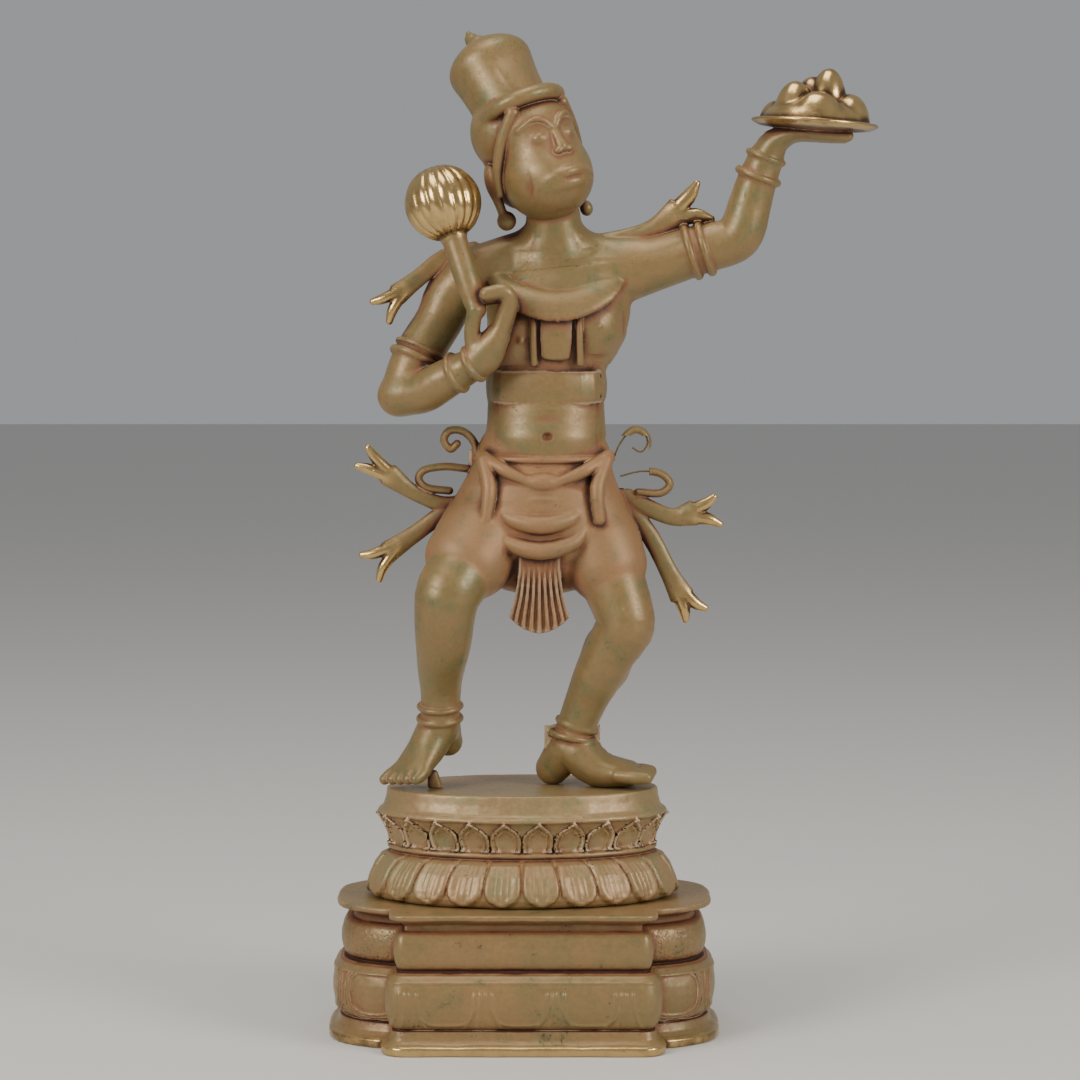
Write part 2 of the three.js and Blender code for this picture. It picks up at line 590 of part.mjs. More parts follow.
function jewellery() {
  const collar = limb([
    [-11, 3, 354, 3.4, 1.6], [-12, -8, 345, 4.6, 1.8], [-4, -17, 336.5, 6.6, 2.2], [15, -20.5, 331.5, 8, 2.4],
    [34, -16, 337, 6.6, 2.2], [41, -7, 345.5, 4.6, 1.8], [39, 3, 353, 3.4, 1.6],
  ], { sides: 8, rings: 15, front: [0.02, -1, 0.5] });
  const tongue = limb([[14.5, -19.5, 330, 7, 1.8], [14.5, -20.5, 318, 7.2, 1.8], [14.3, -19, 309, 6.5, 1.8]],
    { sides: 8, rings: 5 });
  const strings = [4.3, 25].map((x) =>
    limb([[x, -19, 330, 1.6], [x, -20, 318, 1.6], [x + 0.4, -18, 306, 1.6]], { sides: 6, rings: 5 }));
  const bellyBand = limb([
    [-15.6, 0, 296, 1.6, 7.5], [-10, -12.5, 295, 1.6, 7.5], [11, -17.5, 295, 1.8, 7.5],
    [31, -12.5, 295, 1.6, 7.5], [36.2, 0, 296, 1.6, 7.5],
  ], { sides: 6, rings: 11, front: [0, 0, 1] });
  return join([collar, tongue, ...strings, bellyBand]);
}

// A cloth band whose broad side faces along `front`, with a forked, flaring end given by two tips.
function sash(stations, tips, front = [0, -1, 0]) {
  const last = stations[stations.length - 1];
  const before = stations[stations.length - 2];
  const halfway = (a, b) => [0, 1, 2].map((i) => (a[i] + b[i]) / 2);
  const strip = limb(stations, { sides: 6, rings: stations.length * 2 - 1, front });
  const forks = tips.map((tip) =>
    limb([
      [...halfway(before, last), last[3] * 0.55, last[4]],
      [...halfway(last, tip), last[3] * 0.5, last[4] * 1.2],
      [...tip, 1.6, 1.4],
    ], { sides: 6, rings: 4, front }));
  return join([strip, ...forks]);
}

function sashes() {
  const curl = (points) =>
    limb(points.map(([x, z]) => [x, 1, z, 1.8, 3.4]), { sides: 6, rings: points.length * 2 - 1 });
  return join([
    sash([[-22, 4, 356, 5, 3], [-36, 0, 353, 4.4, 2.6], [-48, -3, 344, 4, 2.2], [-57, -4, 337, 5, 2.2]],
      [[-68.5, -4, 333.5], [-61, -4, 324.5]]),
    sash([[34.5, 3, 359, 5.4, 3.4], [48, 2, 362, 5, 2.8], [59.4, 0, 366.8, 4.6, 2.4], [70, -1, 374, 7, 2.2]],
      [[78.3, -2, 387], [85, -2, 370.8]]),
    curl([
      [-21.2, 260], [-22.4, 269], [-27.5, 274.6], [-34, 275], [-36.6, 270.5], [-33.5, 266.6], [-30.5, 269],
    ]),
    curl([[-25.7, 257.6], [-36, 258.6], [-45.6, 257], [-48, 252.6], [-44, 248.8], [-34, 247.6]]),
    curl([[40.7, 262], [43.9, 269.2], [49, 275], [54, 274.5], [56.5, 269.5], [53.5, 265], [49.5, 267]]),
    curl([[44, 254], [52.9, 256.2], [62, 255.6], [66.6, 250.6], [62, 246.4], [52, 247]]),
    sash([
      [-26, 2, 242, 4, 3], [-37.3, 0, 241.5, 3.6, 2.4], [-49.8, -1, 246.4, 3.4, 2.2],
      [-61.5, -2, 255, 5.4, 2.2],
    ], [[-71, -2, 267.4], [-76, -2, 259]]),
    sash([
      [-26, 2, 241, 4, 3], [-36.4, 0, 237.5, 4, 2.4], [-49.8, -1, 228, 4, 2.2], [-61.5, -2, 220, 5.2, 2.2],
    ], [[-74, -2, 218.4], [-66, -2, 207]]),
    sash([
      [44, 2, 246, 4.4, 3], [57, 0, 239.6, 4, 2.4], [68, -1, 235.6, 4, 2.2], [77, -2, 237.6, 6, 2.2],
    ], [[86.6, -2, 245], [89.4, -2, 232.4]]),
    sash([
      [44, 2, 244, 4.4, 3], [57.5, 0, 227, 4.2, 2.4], [65.8, -1, 211, 4.2, 2.2], [71.8, -2, 200, 5.8, 2.2],
    ], [[73.8, -2, 188.6], [82.8, -2, 194]]),
  ]);
}

// The mace and the mountain

const MACE = { head: [-36.1, -18, 377.6], foot: [-21, -29, 330], radius: 17.2, handle: 5.6, ribs: 18 };

function mace() {
  const top = new THREE.Vector3(...MACE.head);
  const bottom = new THREE.Vector3(...MACE.foot);
  const axis = top.clone().sub(bottom).normalize();
  const handle = limb([
    [...bottom.toArray(), 4.4], [...bottom.clone().lerp(top, 0.3).toArray(), MACE.handle],
    [...bottom.clone().lerp(top, 0.75).toArray(), MACE.handle],
  ], { sides: 10, rings: 5 });
  const rows = 7;
  const across = MACE.ribs * 2;
  const rings = Array.from({ length: rows }, (_, r) => {
    const polar = THREE.MathUtils.degToRad(14 + (r / (rows - 1)) * 152);
    return Array.from({ length: across }, (_, s) => {
      const rib = s % 2 ? 1 : 0.93;
      const angle = (s / across) * 2 * Math.PI;
      const out = MACE.radius * rib * Math.sin(polar);
      const along = -MACE.radius * Math.cos(polar);
      return new THREE.Vector3(out * Math.cos(angle), out * Math.sin(angle), along);
    });
  });
  const ball = skin(rings)
    .applyQuaternion(new THREE.Quaternion().setFromUnitVectors(new THREE.Vector3(0, 0, 1), axis))
    .translate(...MACE.head);
  const neck = top.clone().addScaledVector(axis, -MACE.radius * 0.96);
  const collar = band(neck.toArray(), axis.toArray(), 4.6, 1.6, { sides: 10 });
  return join([handle, solid(ball), collar]);
}

const MOUNTAIN = { middle: [130.8, -8, 412.6], plateRadius: 28.4, tilt: 4 };

// Rocks as [x, y, z, half width, half depth, height], from the middle of the plate's top.
const ROCKS = [
  [0, 0, 0, 24, 23, 13], [5, 1, 6, 9, 9, 20], [-2, 4, 4, 9, 9, 18], [-10, -4, 2, 9.5, 9, 17],
  [0, -13, 0, 12, 9, 14.5],
  [15, -2, 1, 9.5, 11, 14], [10, 11, 1, 9, 9, 15], [-9, 11, 1, 10, 9, 15], [-18, 3, 0, 7, 8, 10],
];

function mountain() {
  const edge = MOUNTAIN.plateRadius;
  const rim = [[0, -2.8], [12, -2.6], [edge - 3, -1], [edge + 0.3, 0.6], [edge, 1.8], [0, 2]];
  const profile = rim.map(([r, z]) => new THREE.Vector2(r, z));
  const plate = new THREE.LatheGeometry(profile, 24).rotateX(Math.PI / 2);
  const rocks = ROCKS.map(([x, y, z, a, b, h]) => {
    const peak = new THREE.SphereGeometry(1, 9, 6).rotateX(Math.PI / 2);
    return solid(peak.scale(a, b, h).translate(x, y, z));
  });
  const above = solid(new THREE.BoxGeometry(90, 90, 60).translate(0, 0, 30));
  const placing = new THREE.Matrix4()
    .makeTranslation(...MOUNTAIN.middle)
    .multiply(new THREE.Matrix4().makeRotationY(THREE.MathUtils.degToRad(MOUNTAIN.tilt)));
  return solid(plate).add(join(rocks).intersect(above)).transform(placing.toArray());
}

function figure() {
  const whole = join([
    torso(), chest(), legs(), feet(), anklets(), arms(), armRings(), grippingHand(), openHand(),
    head(), loincloth(), frontDrape(), pleats(), jewellery(), sashes(), mace(), mountain(),
  ]);
  const ground = solid(new THREE.BoxGeometry(400, 400, 100).translate(0, 0, STANDING_LEVEL - 50));
  return thinned(outerShell(whole.subtract(ground)), FIGURE_FACETS);
}

const bronze = new THREE.MeshStandardMaterial({ color: 0x7a6a3c, roughness: 0.45, metalness: 0.6 });
const wornBronze = new THREE.MeshStandardMaterial({ color: 0x7d6440, roughness: 0.55, metalness: 0.5 });

const statue = new THREE.Group();
statue.add(meshOf("hanuman_figure", figure(), bronze));
statue.add(meshOf("lotus_pedestal", pedestal(), wornBronze));
statue.add(meshOf("moulded_plinth", plinth(), wornBronze));

export default statue;
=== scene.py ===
"""A cast bronze monkey-faced guardian on a lotus pedestal and a moulded plinth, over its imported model.

The sculpting is done in millimetres in the part's own frame: +Z up, the figure faces -Y. Every form is a
distance function, forms melt into each other as clay does, and each casting is skinned once, as one mesh.
"""

import math
import os
from concurrent.futures import ThreadPoolExecutor

import bpy
import numpy as np
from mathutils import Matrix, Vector


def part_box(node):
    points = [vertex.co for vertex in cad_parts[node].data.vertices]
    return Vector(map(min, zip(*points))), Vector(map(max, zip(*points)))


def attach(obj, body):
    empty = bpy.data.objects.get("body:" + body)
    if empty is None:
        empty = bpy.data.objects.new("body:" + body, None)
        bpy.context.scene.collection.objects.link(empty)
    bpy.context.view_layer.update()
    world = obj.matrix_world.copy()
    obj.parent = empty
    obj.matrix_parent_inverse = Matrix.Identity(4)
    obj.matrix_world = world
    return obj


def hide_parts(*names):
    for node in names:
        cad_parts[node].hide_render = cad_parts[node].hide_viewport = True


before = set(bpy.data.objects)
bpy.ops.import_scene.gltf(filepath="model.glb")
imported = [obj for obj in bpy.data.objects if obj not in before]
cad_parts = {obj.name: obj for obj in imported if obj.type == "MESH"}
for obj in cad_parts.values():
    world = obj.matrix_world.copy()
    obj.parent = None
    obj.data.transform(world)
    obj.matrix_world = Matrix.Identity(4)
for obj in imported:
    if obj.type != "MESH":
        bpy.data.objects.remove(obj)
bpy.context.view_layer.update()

MM = 0.001
FAR = np.float32(99)  # stands for "nowhere near", in mm
LEFT, RIGHT = -1, 1  # sides of the head as the viewer sees them, before it turns


def mm(corner):
    return np.array(corner, float) / MM


PLINTH_LOW, PLINTH_HIGH = (mm(c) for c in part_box("moulded_plinth"))
PEDESTAL_LOW, PEDESTAL_HIGH = (mm(c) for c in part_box("lotus_pedestal"))
PLINTH_TOP = PLINTH_HIGH[2]
STANDING_LEVEL = PEDESTAL_HIGH[2]


# Small tools for distances

def smooth_min(a, b, softness):
    """The nearer of two skins, with the crease between them filled to about a quarter of softness."""
    if softness <= 0:
        return np.minimum(a, b)
    lap = np.maximum(softness - np.abs(a - b), 0) / softness
    return np.minimum(a, b) - lap * lap * softness * 0.25


def bump_at(value, middle, half_width):
    """A smooth hill of height 1 around middle, 0 beyond half_width."""
    away = np.clip(np.abs(value - middle) / half_width, 0, 1)
    return (1 - away * away) ** 2


def step_up(value, start, end):
    """0 before start, 1 after end, smooth between."""
    share = np.clip((value - start) / (end - start), 0, 1)
    return share * share * (3 - 2 * share)


def turned(degrees):
    """A rotation matrix that turns about x, then y, then z."""
    (cx, cy, cz), (sx, sy, sz) = np.cos(np.radians(degrees)), np.sin(np.radians(degrees))
    about_x = np.array([[1, 0, 0], [0, cx, -sx], [0, sx, cx]])
    about_y = np.array([[cy, 0, sy], [0, 1, 0], [-sy, 0, cy]])
    about_z = np.array([[cz, -sz, 0], [sz, cz, 0], [0, 0, 1]])
    return about_z @ about_y @ about_x


# Forms: each has a box from low to high, and at(points, reach) gives distances that are true within reach

class Form:
    def __init__(self, distance, low, high):
        self.distance = distance
        self.low = np.array(low, np.float32)
        self.high = np.array(high, np.float32)

    def at(self, points, reach):
        return self.distance(points)


class Blend(Form):
    """Several forms melted into one."""

    def __init__(self, parts, softness=1.0):
        self.parts = parts
        self.softness = softness
        self.low = np.min([part.low for part in parts], axis=0)
        self.high = np.max([part.high for part in parts], axis=0)

    def at(self, points, reach):
        whole = np.full(points.shape[1], FAR, np.float32)
        low, high = points.min(1), points.max(1)
        for part in self.parts:
            from_, to = part.low - reach, part.high + reach
            if (from_ > high).any() or (to < low).any():
                continue
            inside = ((points > from_[:, None]) & (points < to[:, None])).all(0)
            near = np.flatnonzero(inside)
            if len(near):
                whole[near] = smooth_min(whole[near], part.at(points[:, near], reach), self.softness)
        return whole


class Cut(Form):
    """A form with another taken away from it."""

    def __init__(self, form, tool, softness=0.4):
        self.form = form
        self.tool = tool
        self.softness = softness
        self.low, self.high = form.low, form.high

    def at(self, points, reach):
        return -smooth_min(-self.form.at(points, reach), self.tool.at(points, reach), self.softness)


class Relief(Form):
    """A form whose skin is raised by height(points), in mm, where the skin is near."""

    def __init__(self, form, height, most):
        self.form = form
        self.height = height
        self.most = most
        self.low, self.high = form.low - most, form.high + most

    def at(self, points, reach):
        distance = self.form.at(points, reach)
        near = np.flatnonzero(np.abs(distance) < 3 * self.most + 1.5)
        if len(near):
            distance[near] -= self.height(points[:, near]).astype(np.float32)
        return distance


class Placed(Form):
    """A form made about its own origin, then turned by spin and moved to place."""

    def __init__(self, form, spin, place):
        self.form = form
        self.spin = np.array(spin, np.float32)
        self.place = np.array(place, np.float32)
        middle = (form.low + form.high) / 2
        half = np.abs(self.spin) @ ((form.high - form.low) / 2)
        self.low = self.spin @ middle + self.place - half
        self.high = self.spin @ middle + self.place + half

    def at(self, points, reach):
        return self.form.at(self.spin.T @ (points - self.place[:, None]), reach)


def lump(centre, radii, turn=(0, 0, 0)):
    """An ellipsoid."""
    centre = np.array(centre, np.float32)
    radii = np.array(radii, np.float32)
    spin = turned(turn).astype(np.float32)

    def distance(points):
        near = (spin.T @ (points - centre[:, None])) / radii[:, None]
        share = np.sqrt((near * near).sum(0)) + 1e-5
        steep = np.sqrt(((near / radii[:, None]) ** 2).sum(0)) + 1e-6
        return share * (share - 1) / steep

    half = np.sqrt(((spin * radii) ** 2).sum(1))
    return Form(distance, centre - half, centre + half)


def through(stations, steps, closed=False):
    """Stations joined by a smooth curve, with so many steps from each to the next."""
    known = np.array(stations, float)
    count = len(known)
    if closed:
        index = np.arange(count * steps + 1) / steps
        pick = lambda i: known[i % count]
    else:
        index = np.arange((count - 1) * steps + 1) / steps
        padded = np.vstack([2 * known[0] - known[1], known, 2 * known[-1] - known[-2]])
        pick = lambda i: padded[np.clip(i + 1, 0, count + 1)]
    base = np.floor(index).astype(int)
    if not closed:
        base = np.minimum(base, count - 2)
    t = (index - base)[:, None]
    a, b, c, d = (pick(base + k) for k in (-1, 0, 1, 2))
    square = 2 * a - 5 * b + 4 * c - d
    cube = 3 * b - a - 3 * c + d
    return 0.5 * (2 * b + (c - a) * t + square * t ** 2 + cube * t ** 3)


class Track:
    """A smooth curve through stations [x, y, z, half width, half depth], with its own sideways axes."""

    def __init__(self, stations, front=(0, -1, 0), steps=3, closed=False):
        full = [[*s[:3], *(s[3:] if len(s) == 5 else [s[3], s[3]])] for s in stations]
        curve = through(full, steps, closed)
        self.points = curve[:, :3]
        self.sizes = np.maximum(curve[:, 3:], 0.05)
        run = np.gradient(self.points, axis=0)
        if closed:
            run[0] = run[-1] = self.points[1] - self.points[-2]
        self.along = run / np.linalg.norm(run, axis=1, keepdims=True)
        side = np.cross(np.array(front, float), self.along)
        self.side = side / np.linalg.norm(side, axis=1, keepdims=True)
        self.out = np.cross(self.along, self.side)
        lengths = np.linalg.norm(np.diff(self.points, axis=0), axis=1)
        self.reached = np.concatenate([[0], np.cumsum(lengths)])
        self.length = self.reached[-1]
        self.table = np.hstack([self.points, self.side, self.out, self.along, self.sizes,
                                self.reached[:, None]]).astype(np.float32)

    def box(self, extra=0.0):
        half = self.sizes.max(1)[:, None] + extra
        return (self.points - half).min(0), (self.points + half).max(0)

    def locate(self, points):
        """For each point: how far along, across, out and past the end it is, and the half sizes there."""
        best = np.full(points.shape[1], np.inf, np.float32)
        place = np.zeros(points.shape[1], np.float32)
        core = self.points.astype(np.float32)
        for i in range(len(core) - 1):
            run = core[i + 1] - core[i]
            away = points - core[i][:, None]
            share = np.clip((run @ away) / (run @ run), 0, 1)
            away -= run[:, None] * share
            gap = (away * away).sum(0)
            closer = gap < best
            best[closer] = gap[closer]
            place[closer] = i + share[closer]
        base = np.minimum(place.astype(np.int32), len(core) - 2)
        part = (place - base)[:, None]
        here = self.table[base] * (1 - part) + self.table[base + 1] * part
        away = points.T - here[:, :3]
        across = (away * here[:, 3:6]).sum(1)
        out = (away * here[:, 6:9]).sum(1)
        past = (away * here[:, 9:12]).sum(1)
        return here[:, 14], across, out, past, here[:, 12], here[:, 13]


def limb(stations, front=(0, -1, 0), steps=3, closed=False):
    """An elliptic limb through stations, with rounded ends."""
    track = Track(stations, front, steps, closed)

    def distance(points):
        _, across, out, past, a, b = track.locate(points)
        c = np.minimum(a, b)
        share = np.sqrt((across / a) ** 2 + (out / b) ** 2 + (past / c) ** 2) + 1e-5
        steep = np.sqrt((across / a ** 2) ** 2 + (out / b ** 2) ** 2 + (past / c ** 2) ** 2) + 1e-6
        return share * (share - 1) / steep

    return Form(distance, *track.box())


def ring(centre, normal, radius, tube, squash=1.0, depth=None, count=16):
    """A ring around a limb that runs along normal; squash narrows it along its second axis."""
    runs_to_front = abs(normal[1]) >= 0.9 * np.linalg.norm(normal)
    across = [1, 0, 0] if runs_to_front else np.cross([0.0, 1.0, 0.0], normal)
    across = np.array(across, float) / np.linalg.norm(across)
    up = np.cross(np.array(normal, float) / np.linalg.norm(normal), across)
    angles = np.arange(count) * 2 * math.pi / count
    ways = [math.cos(t) * across + squash * math.sin(t) * up for t in angles]
    return [[*(np.array(centre) + radius * way), tube, depth or tube] for way in ways]


def beads(track, spacing, radius, sunk=0.0):
    """Round beads threaded along a track."""
    count = max(1, round(track.length / spacing))
    gap = track.length / count

    def distance(points):
        along, across, out, past, _, _ = track.locate(points)
        nearest = (np.floor(along / gap) + 0.5) * gap
        return np.sqrt((along - nearest) ** 2 + across ** 2 + (out + sunk) ** 2 + past ** 2) - radius

    return Form(distance, *track.box(radius))


def outline_distance(u, v, corners):
    """Signed distance in a plane to a closed outline; inside is negative."""
    best = np.full(u.shape, np.inf, np.float32)
    side = np.ones(u.shape, np.float32)
    for (u0, v0), (u1, v1) in zip(corners, np.roll(corners, 1, axis=0)):
        eu, ev = u1 - u0, v1 - v0
        wu, wv = u - u0, v - v0
        share = np.clip((wu * eu + wv * ev) / (eu * eu + ev * ev), 0, 1)
        best = np.minimum(best, (wu - eu * share) ** 2 + (wv - ev * share) ** 2)
        above, below, left = v >= v0, v < v1, eu * wv > ev * wu
        flips = (above & below & left) | (~above & ~below & ~left)
        side = np.where(flips, -side, side)
    return side * np.sqrt(best)


# Skinning: the form's zero surface as one closed mesh

CORNERS = np.array([[i, j, k] for i in (0, 1) for j in (0, 1) for k in (0, 1)])
HALF_DIAGONAL = 0.87  # of a cell one wide
STEEPEST = 1.45  # the most that a relief makes a distance grow for each mm
SLACK = 0.15
CHUNK = 30000  # points given to a core at a time


def distances(form, points, reach):
    """form.at for many points, in chunks shared between the processor's cores."""
    chunks = np.array_split(points, max(1, len(points) // CHUNK))
    with ThreadPoolExecutor(os.cpu_count()) as workers:
        parts = workers.map(lambda chunk: form.at(np.ascontiguousarray(chunk.T, np.float32), reach), chunks)
        return np.concatenate(list(parts))


def cells_near_skin(form, low, counts, cell, halvings):
    """Whole-number places of the cells, twice as wide as cell, that the skin may cross."""
    width = cell * 2 ** halvings
    blocks = [math.ceil(count / 2 ** halvings) for count in counts]
    cells = np.indices(blocks).reshape(3, -1).T
    while True:
        middles = low + (cells + 0.5) * width
        away = distances(form, middles, width * 1.3 + 1)
        cells = cells[np.abs(away) < width * HALF_DIAGONAL * STEEPEST + SLACK]
        if width <= 2.01 * cell:
            return cells
        cells = (cells[:, None] * 2 + CORNERS).reshape(-1, 3)
        width /= 2


def skin_of(form, cell, halvings=4):
    """Vertices and four-sided faces of the surface where the form's distance is zero."""
    low = form.low - 3 * cell
    counts = np.ceil((form.high + 3 * cell - low) / cell).astype(int)
    pairs = cells_near_skin(form, low, counts, cell, halvings)
    shape = (np.ceil(counts / 2 ** halvings).astype(int) * 2 ** halvings) + 1
    strides = np.array([shape[1] * shape[2], shape[2], 1])
    lattice = np.indices((3, 3, 3)).reshape(3, -1).T
    wanted = np.zeros(np.prod(shape), bool)
    for offset in lattice:
        wanted[(pairs * 2 + offset) @ strides] = True
    known = np.flatnonzero(wanted)
    places = np.stack([known // strides[0], known // strides[1] % shape[1], known % shape[2]], 1)
    values = np.full(np.prod(shape), np.nan, np.float32)
    values[known] = distances(form, low + places * cell, cell * 2 + 1)

    cells = (pairs[:, None] * 2 + CORNERS).reshape(-1, 3)
    keys = cells @ strides
    at_corners = values[keys[:, None] + CORNERS @ strides]
    inside = at_corners < 0
    crossed = inside.any(1) & ~inside.all(1)
    cells, keys, at_corners = cells[crossed], keys[crossed], at_corners[crossed]
    total = np.zeros((len(cells), 3))
    crossings = np.zeros((len(cells), 1))
    for a in range(8):
        for b in range(a + 1, 8):
            if np.abs(CORNERS[a] - CORNERS[b]).sum() != 1:
                continue
            va, vb = at_corners[:, a], at_corners[:, b]
            cross = (va < 0) != (vb < 0)
            share = np.where(cross, va / np.where(cross, va - vb, 1), 0)[:, None]
            total += cross[:, None] * (CORNERS[a] + share * (CORNERS[b] - CORNERS[a]))
            crossings += cross[:, None]
    vertices = low + (cells + total / crossings) * cell
    number = np.full(np.prod(shape), -1, np.int32)
    number[keys] = np.arange(len(cells))

    faces = []
    for axis in range(3):
        stride = strides[axis]
        first, second = (strides[(axis + k) % 3] for k in (1, 2))
        here, there = values[known], values[np.minimum(known + stride, len(values) - 1)]
        for leaving in (True, False):
            cross = (here < 0) & (there >= 0) if leaving else (here >= 0) & (there < 0)
            edge = known[cross]
            quad = np.stack([number[edge - first - second], number[edge - second], number[edge],
                             number[edge - first]], 1)
            faces.append(quad if leaving else quad[:, ::-1])
    faces = np.concatenate(faces)
    return vertices, faces[(faces >= 0).all(1)]


def largest_part(vertices, faces):
    """The biggest connected shell alone, so that no void or loose speck is left in the casting."""
    label = np.arange(len(vertices))
    while True:
        lowest = label[faces].min(1)
        new = label.copy()
        for k in range(4):
            np.minimum.at(new, faces[:, k], lowest)
        new = new[new]
        if (new == label).all():
            break
        label = new
    names, sizes = np.unique(label, return_counts=True)
    keep = label == names[sizes.argmax()]
    renumber = np.cumsum(keep) - 1
    return vertices[keep], renumber[faces[keep[faces[:, 0]]]]


def mesh_from(name, vertices, faces):
    mesh = bpy.data.meshes.new(name)
    mesh.vertices.add(len(vertices))
    mesh.vertices.foreach_set("co", (vertices * MM).astype(np.float32).ravel())
    mesh.loops.add(faces.size)
    mesh.loops.foreach_set("vertex_index", faces.astype(np.int32).ravel())
    mesh.polygons.add(len(faces))
    mesh.polygons.foreach_set("loop_start", np.arange(0, faces.size, faces.shape[1], dtype=np.int32))
    mesh.update(calc_edges=True)
    return mesh


def cast(name, form, cell, most_faces, node):
    """The form skinned with cells of a given size and thinned to most_faces triangles, for a node."""
    vertices, faces = largest_part(*skin_of(form, cell))
    raw = bpy.data.objects.new(name + "_raw", mesh_from(name + "_raw", vertices, faces))
    bpy.context.scene.collection.objects.link(raw)
    thin = raw.modifiers.new("thin", "DECIMATE")
    thin.ratio = min(1.0, most_faces / (2 * len(faces)))
    thin.use_collapse_triangulate = True
    bpy.context.view_layer.update()
    mesh = bpy.data.meshes.new_from_object(raw.evaluated_get(bpy.context.evaluated_depsgraph_get()))
    bpy.data.objects.remove(raw)
    mesh.name = name
    mesh.shade_smooth()
    piece = bpy.data.objects.new(name, mesh)
    bpy.context.scene.collection.objects.link(piece)
    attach(piece, "root")
    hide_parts(node)
    return piece


# Wear of hand work: low waves that keep long surfaces from looking turned on a lathe

def hand_waves(points, width, depth):
    """A gentle unevenness in mm, with hills about width apart."""
    x, y, z = points * (2 * math.pi / width)
    slow = np.sin(x + 1.3 * np.sin(0.7 * y + 0.4)) + np.sin(1.1 * z + 1.7 * np.sin(0.6 * x + 2.1))
    quick = np.sin(1.9 * y + 1.2 * np.sin(1.3 * z)) + np.sin(2.3 * x - 1.7 * z + 0.9)
    return depth * (slow + 0.5 * quick) / 3


# The plinth

LOBE_HALF_WIDTH = 79.0
LOBE_HALF_DEPTH = 40.0
LOBE_POWER = 3.4
BLOCK_HALF_WIDTH = 54.0
BLOCK_HALF_DEPTH = 53.0
BLOCK_GROWTH = 0.92
UPPER_ROUND = (37.0, 54.0)
LOWER_ROUND = (11.0, 36.0)
FRONT_TASSELS = (-51.0, -17.5, 14.5, 45.0)
TASSEL_LINES = (-4.2, -1.6, 0.6, 3.6)
LOBE_PETAL_WIDTH = 31.0


def round_moulding(bottom, top, foot, bulge, steps=10):
    return [[foot + bulge * math.sin(math.pi * i / steps),
             bottom + (top - bottom) * (1 - math.cos(math.pi * i / steps)) / 2] for i in range(steps + 1)]


PLINTH_PROFILE = [
    [-30, 0], [9.6, 0], [10.3, 0.8], [10.4, 3.4], [9.8, 4.2], [8, 5], [6.2, 6.8], [5.2, 10.5],
    *round_moulding(*LOWER_ROUND, 3.2, 5.6),
    [1.2, 36.2],
    *round_moulding(*UPPER_ROUND, 0.6, 3.7),
    [-1.2, 54.6], [-1.6, 56], [-1.2, 57.4], [2.4, 59.6], [5.9, 60.1], [6.3, 60.6], [6.3, 62.1],
    [5.9, PLINTH_TOP],
    [-30, PLINTH_TOP],
]


def lobe_out(points):
    """How far outside the oval body's neck outline a point is."""
    x, y = np.abs(points[0]), np.abs(points[1])
    out = np.zeros_like(x)
    for _ in range(4):
        wide, deep = LOBE_HALF_WIDTH + out, LOBE_HALF_DEPTH + out
        in_x, in_y = (x / wide) ** LOBE_POWER, (y / deep) ** LOBE_POWER
        share = np.maximum(in_x + in_y, 1e-6)
        rise = (share ** (1 / LOBE_POWER) - 1) * share / (in_x / wide + in_y / deep + 1e-6)
        out = np.clip(out + rise, -28, 60)
    return out


def block_out(points):
    """How far outside the straight block's neck outline a point is."""
    over_x = np.abs(points[0]) - BLOCK_HALF_WIDTH + 1
    over_y = np.abs(points[1]) - BLOCK_HALF_DEPTH + 1
    outside = np.hypot(np.maximum(over_x, 0), np.maximum(over_y, 0))
    return (outside + np.minimum(np.maximum(over_x, over_y), 0) - 1) / BLOCK_GROWTH


def ridge_line(away, half_width=0.55):
    return bump_at(away, 0, half_width)


def wide_petal_lines(along, z):
    """Incised petals on the lower round: round-bottomed panels between flaring groups of lines."""
    low, high = LOWER_ROUND
    drop = np.clip((high - 6 - z) / (high - 6 - low), 0, 1)
    height = np.zeros_like(z)
    for middle in FRONT_TASSELS:
        for line in TASSEL_LINES:
            flared = middle + line * (1 + 1.3 * drop ** 3)
            lean = 1 + 0.35 * abs(line) * drop ** 2
            height += ridge_line((along - flared) / lean, 0.75) * step_up(drop, 0.02, 0.12)
    gaps = [(a + b) / 2 for a, b in zip(FRONT_TASSELS, FRONT_TASSELS[1:])]
    for middle in gaps:
        share = ((along - middle) / 13.0) ** 4 + ((z - 25) / 11.6) ** 2
        height += ridge_line((np.sqrt(share) - 1) * 10, 0.8) * (z < 22)
    return np.minimum(height, 1) * step_up(z, low + 0.5, low + 2)


def lobe_petal_lines(along, z):
    """Three nested curves around each broad petal of the lobes."""
    high = LOWER_ROUND[1]
    beside = (along + LOBE_PETAL_WIDTH / 2) % LOBE_PETAL_WIDTH - LOBE_PETAL_WIDTH / 2
    share = np.sqrt(np.abs(beside / (LOBE_PETAL_WIDTH / 2 - 1)) ** 3 + np.abs((z - 24) / 12.5) ** 3)
    lines = sum(ridge_line((share - level) * 12, 0.75) for level in (0.68, 0.84, 0.99))
    panel = -0.5 * step_up(-share, -0.66, -0.55)
    return (np.minimum(lines, 1) + panel) * (z < high - 4)


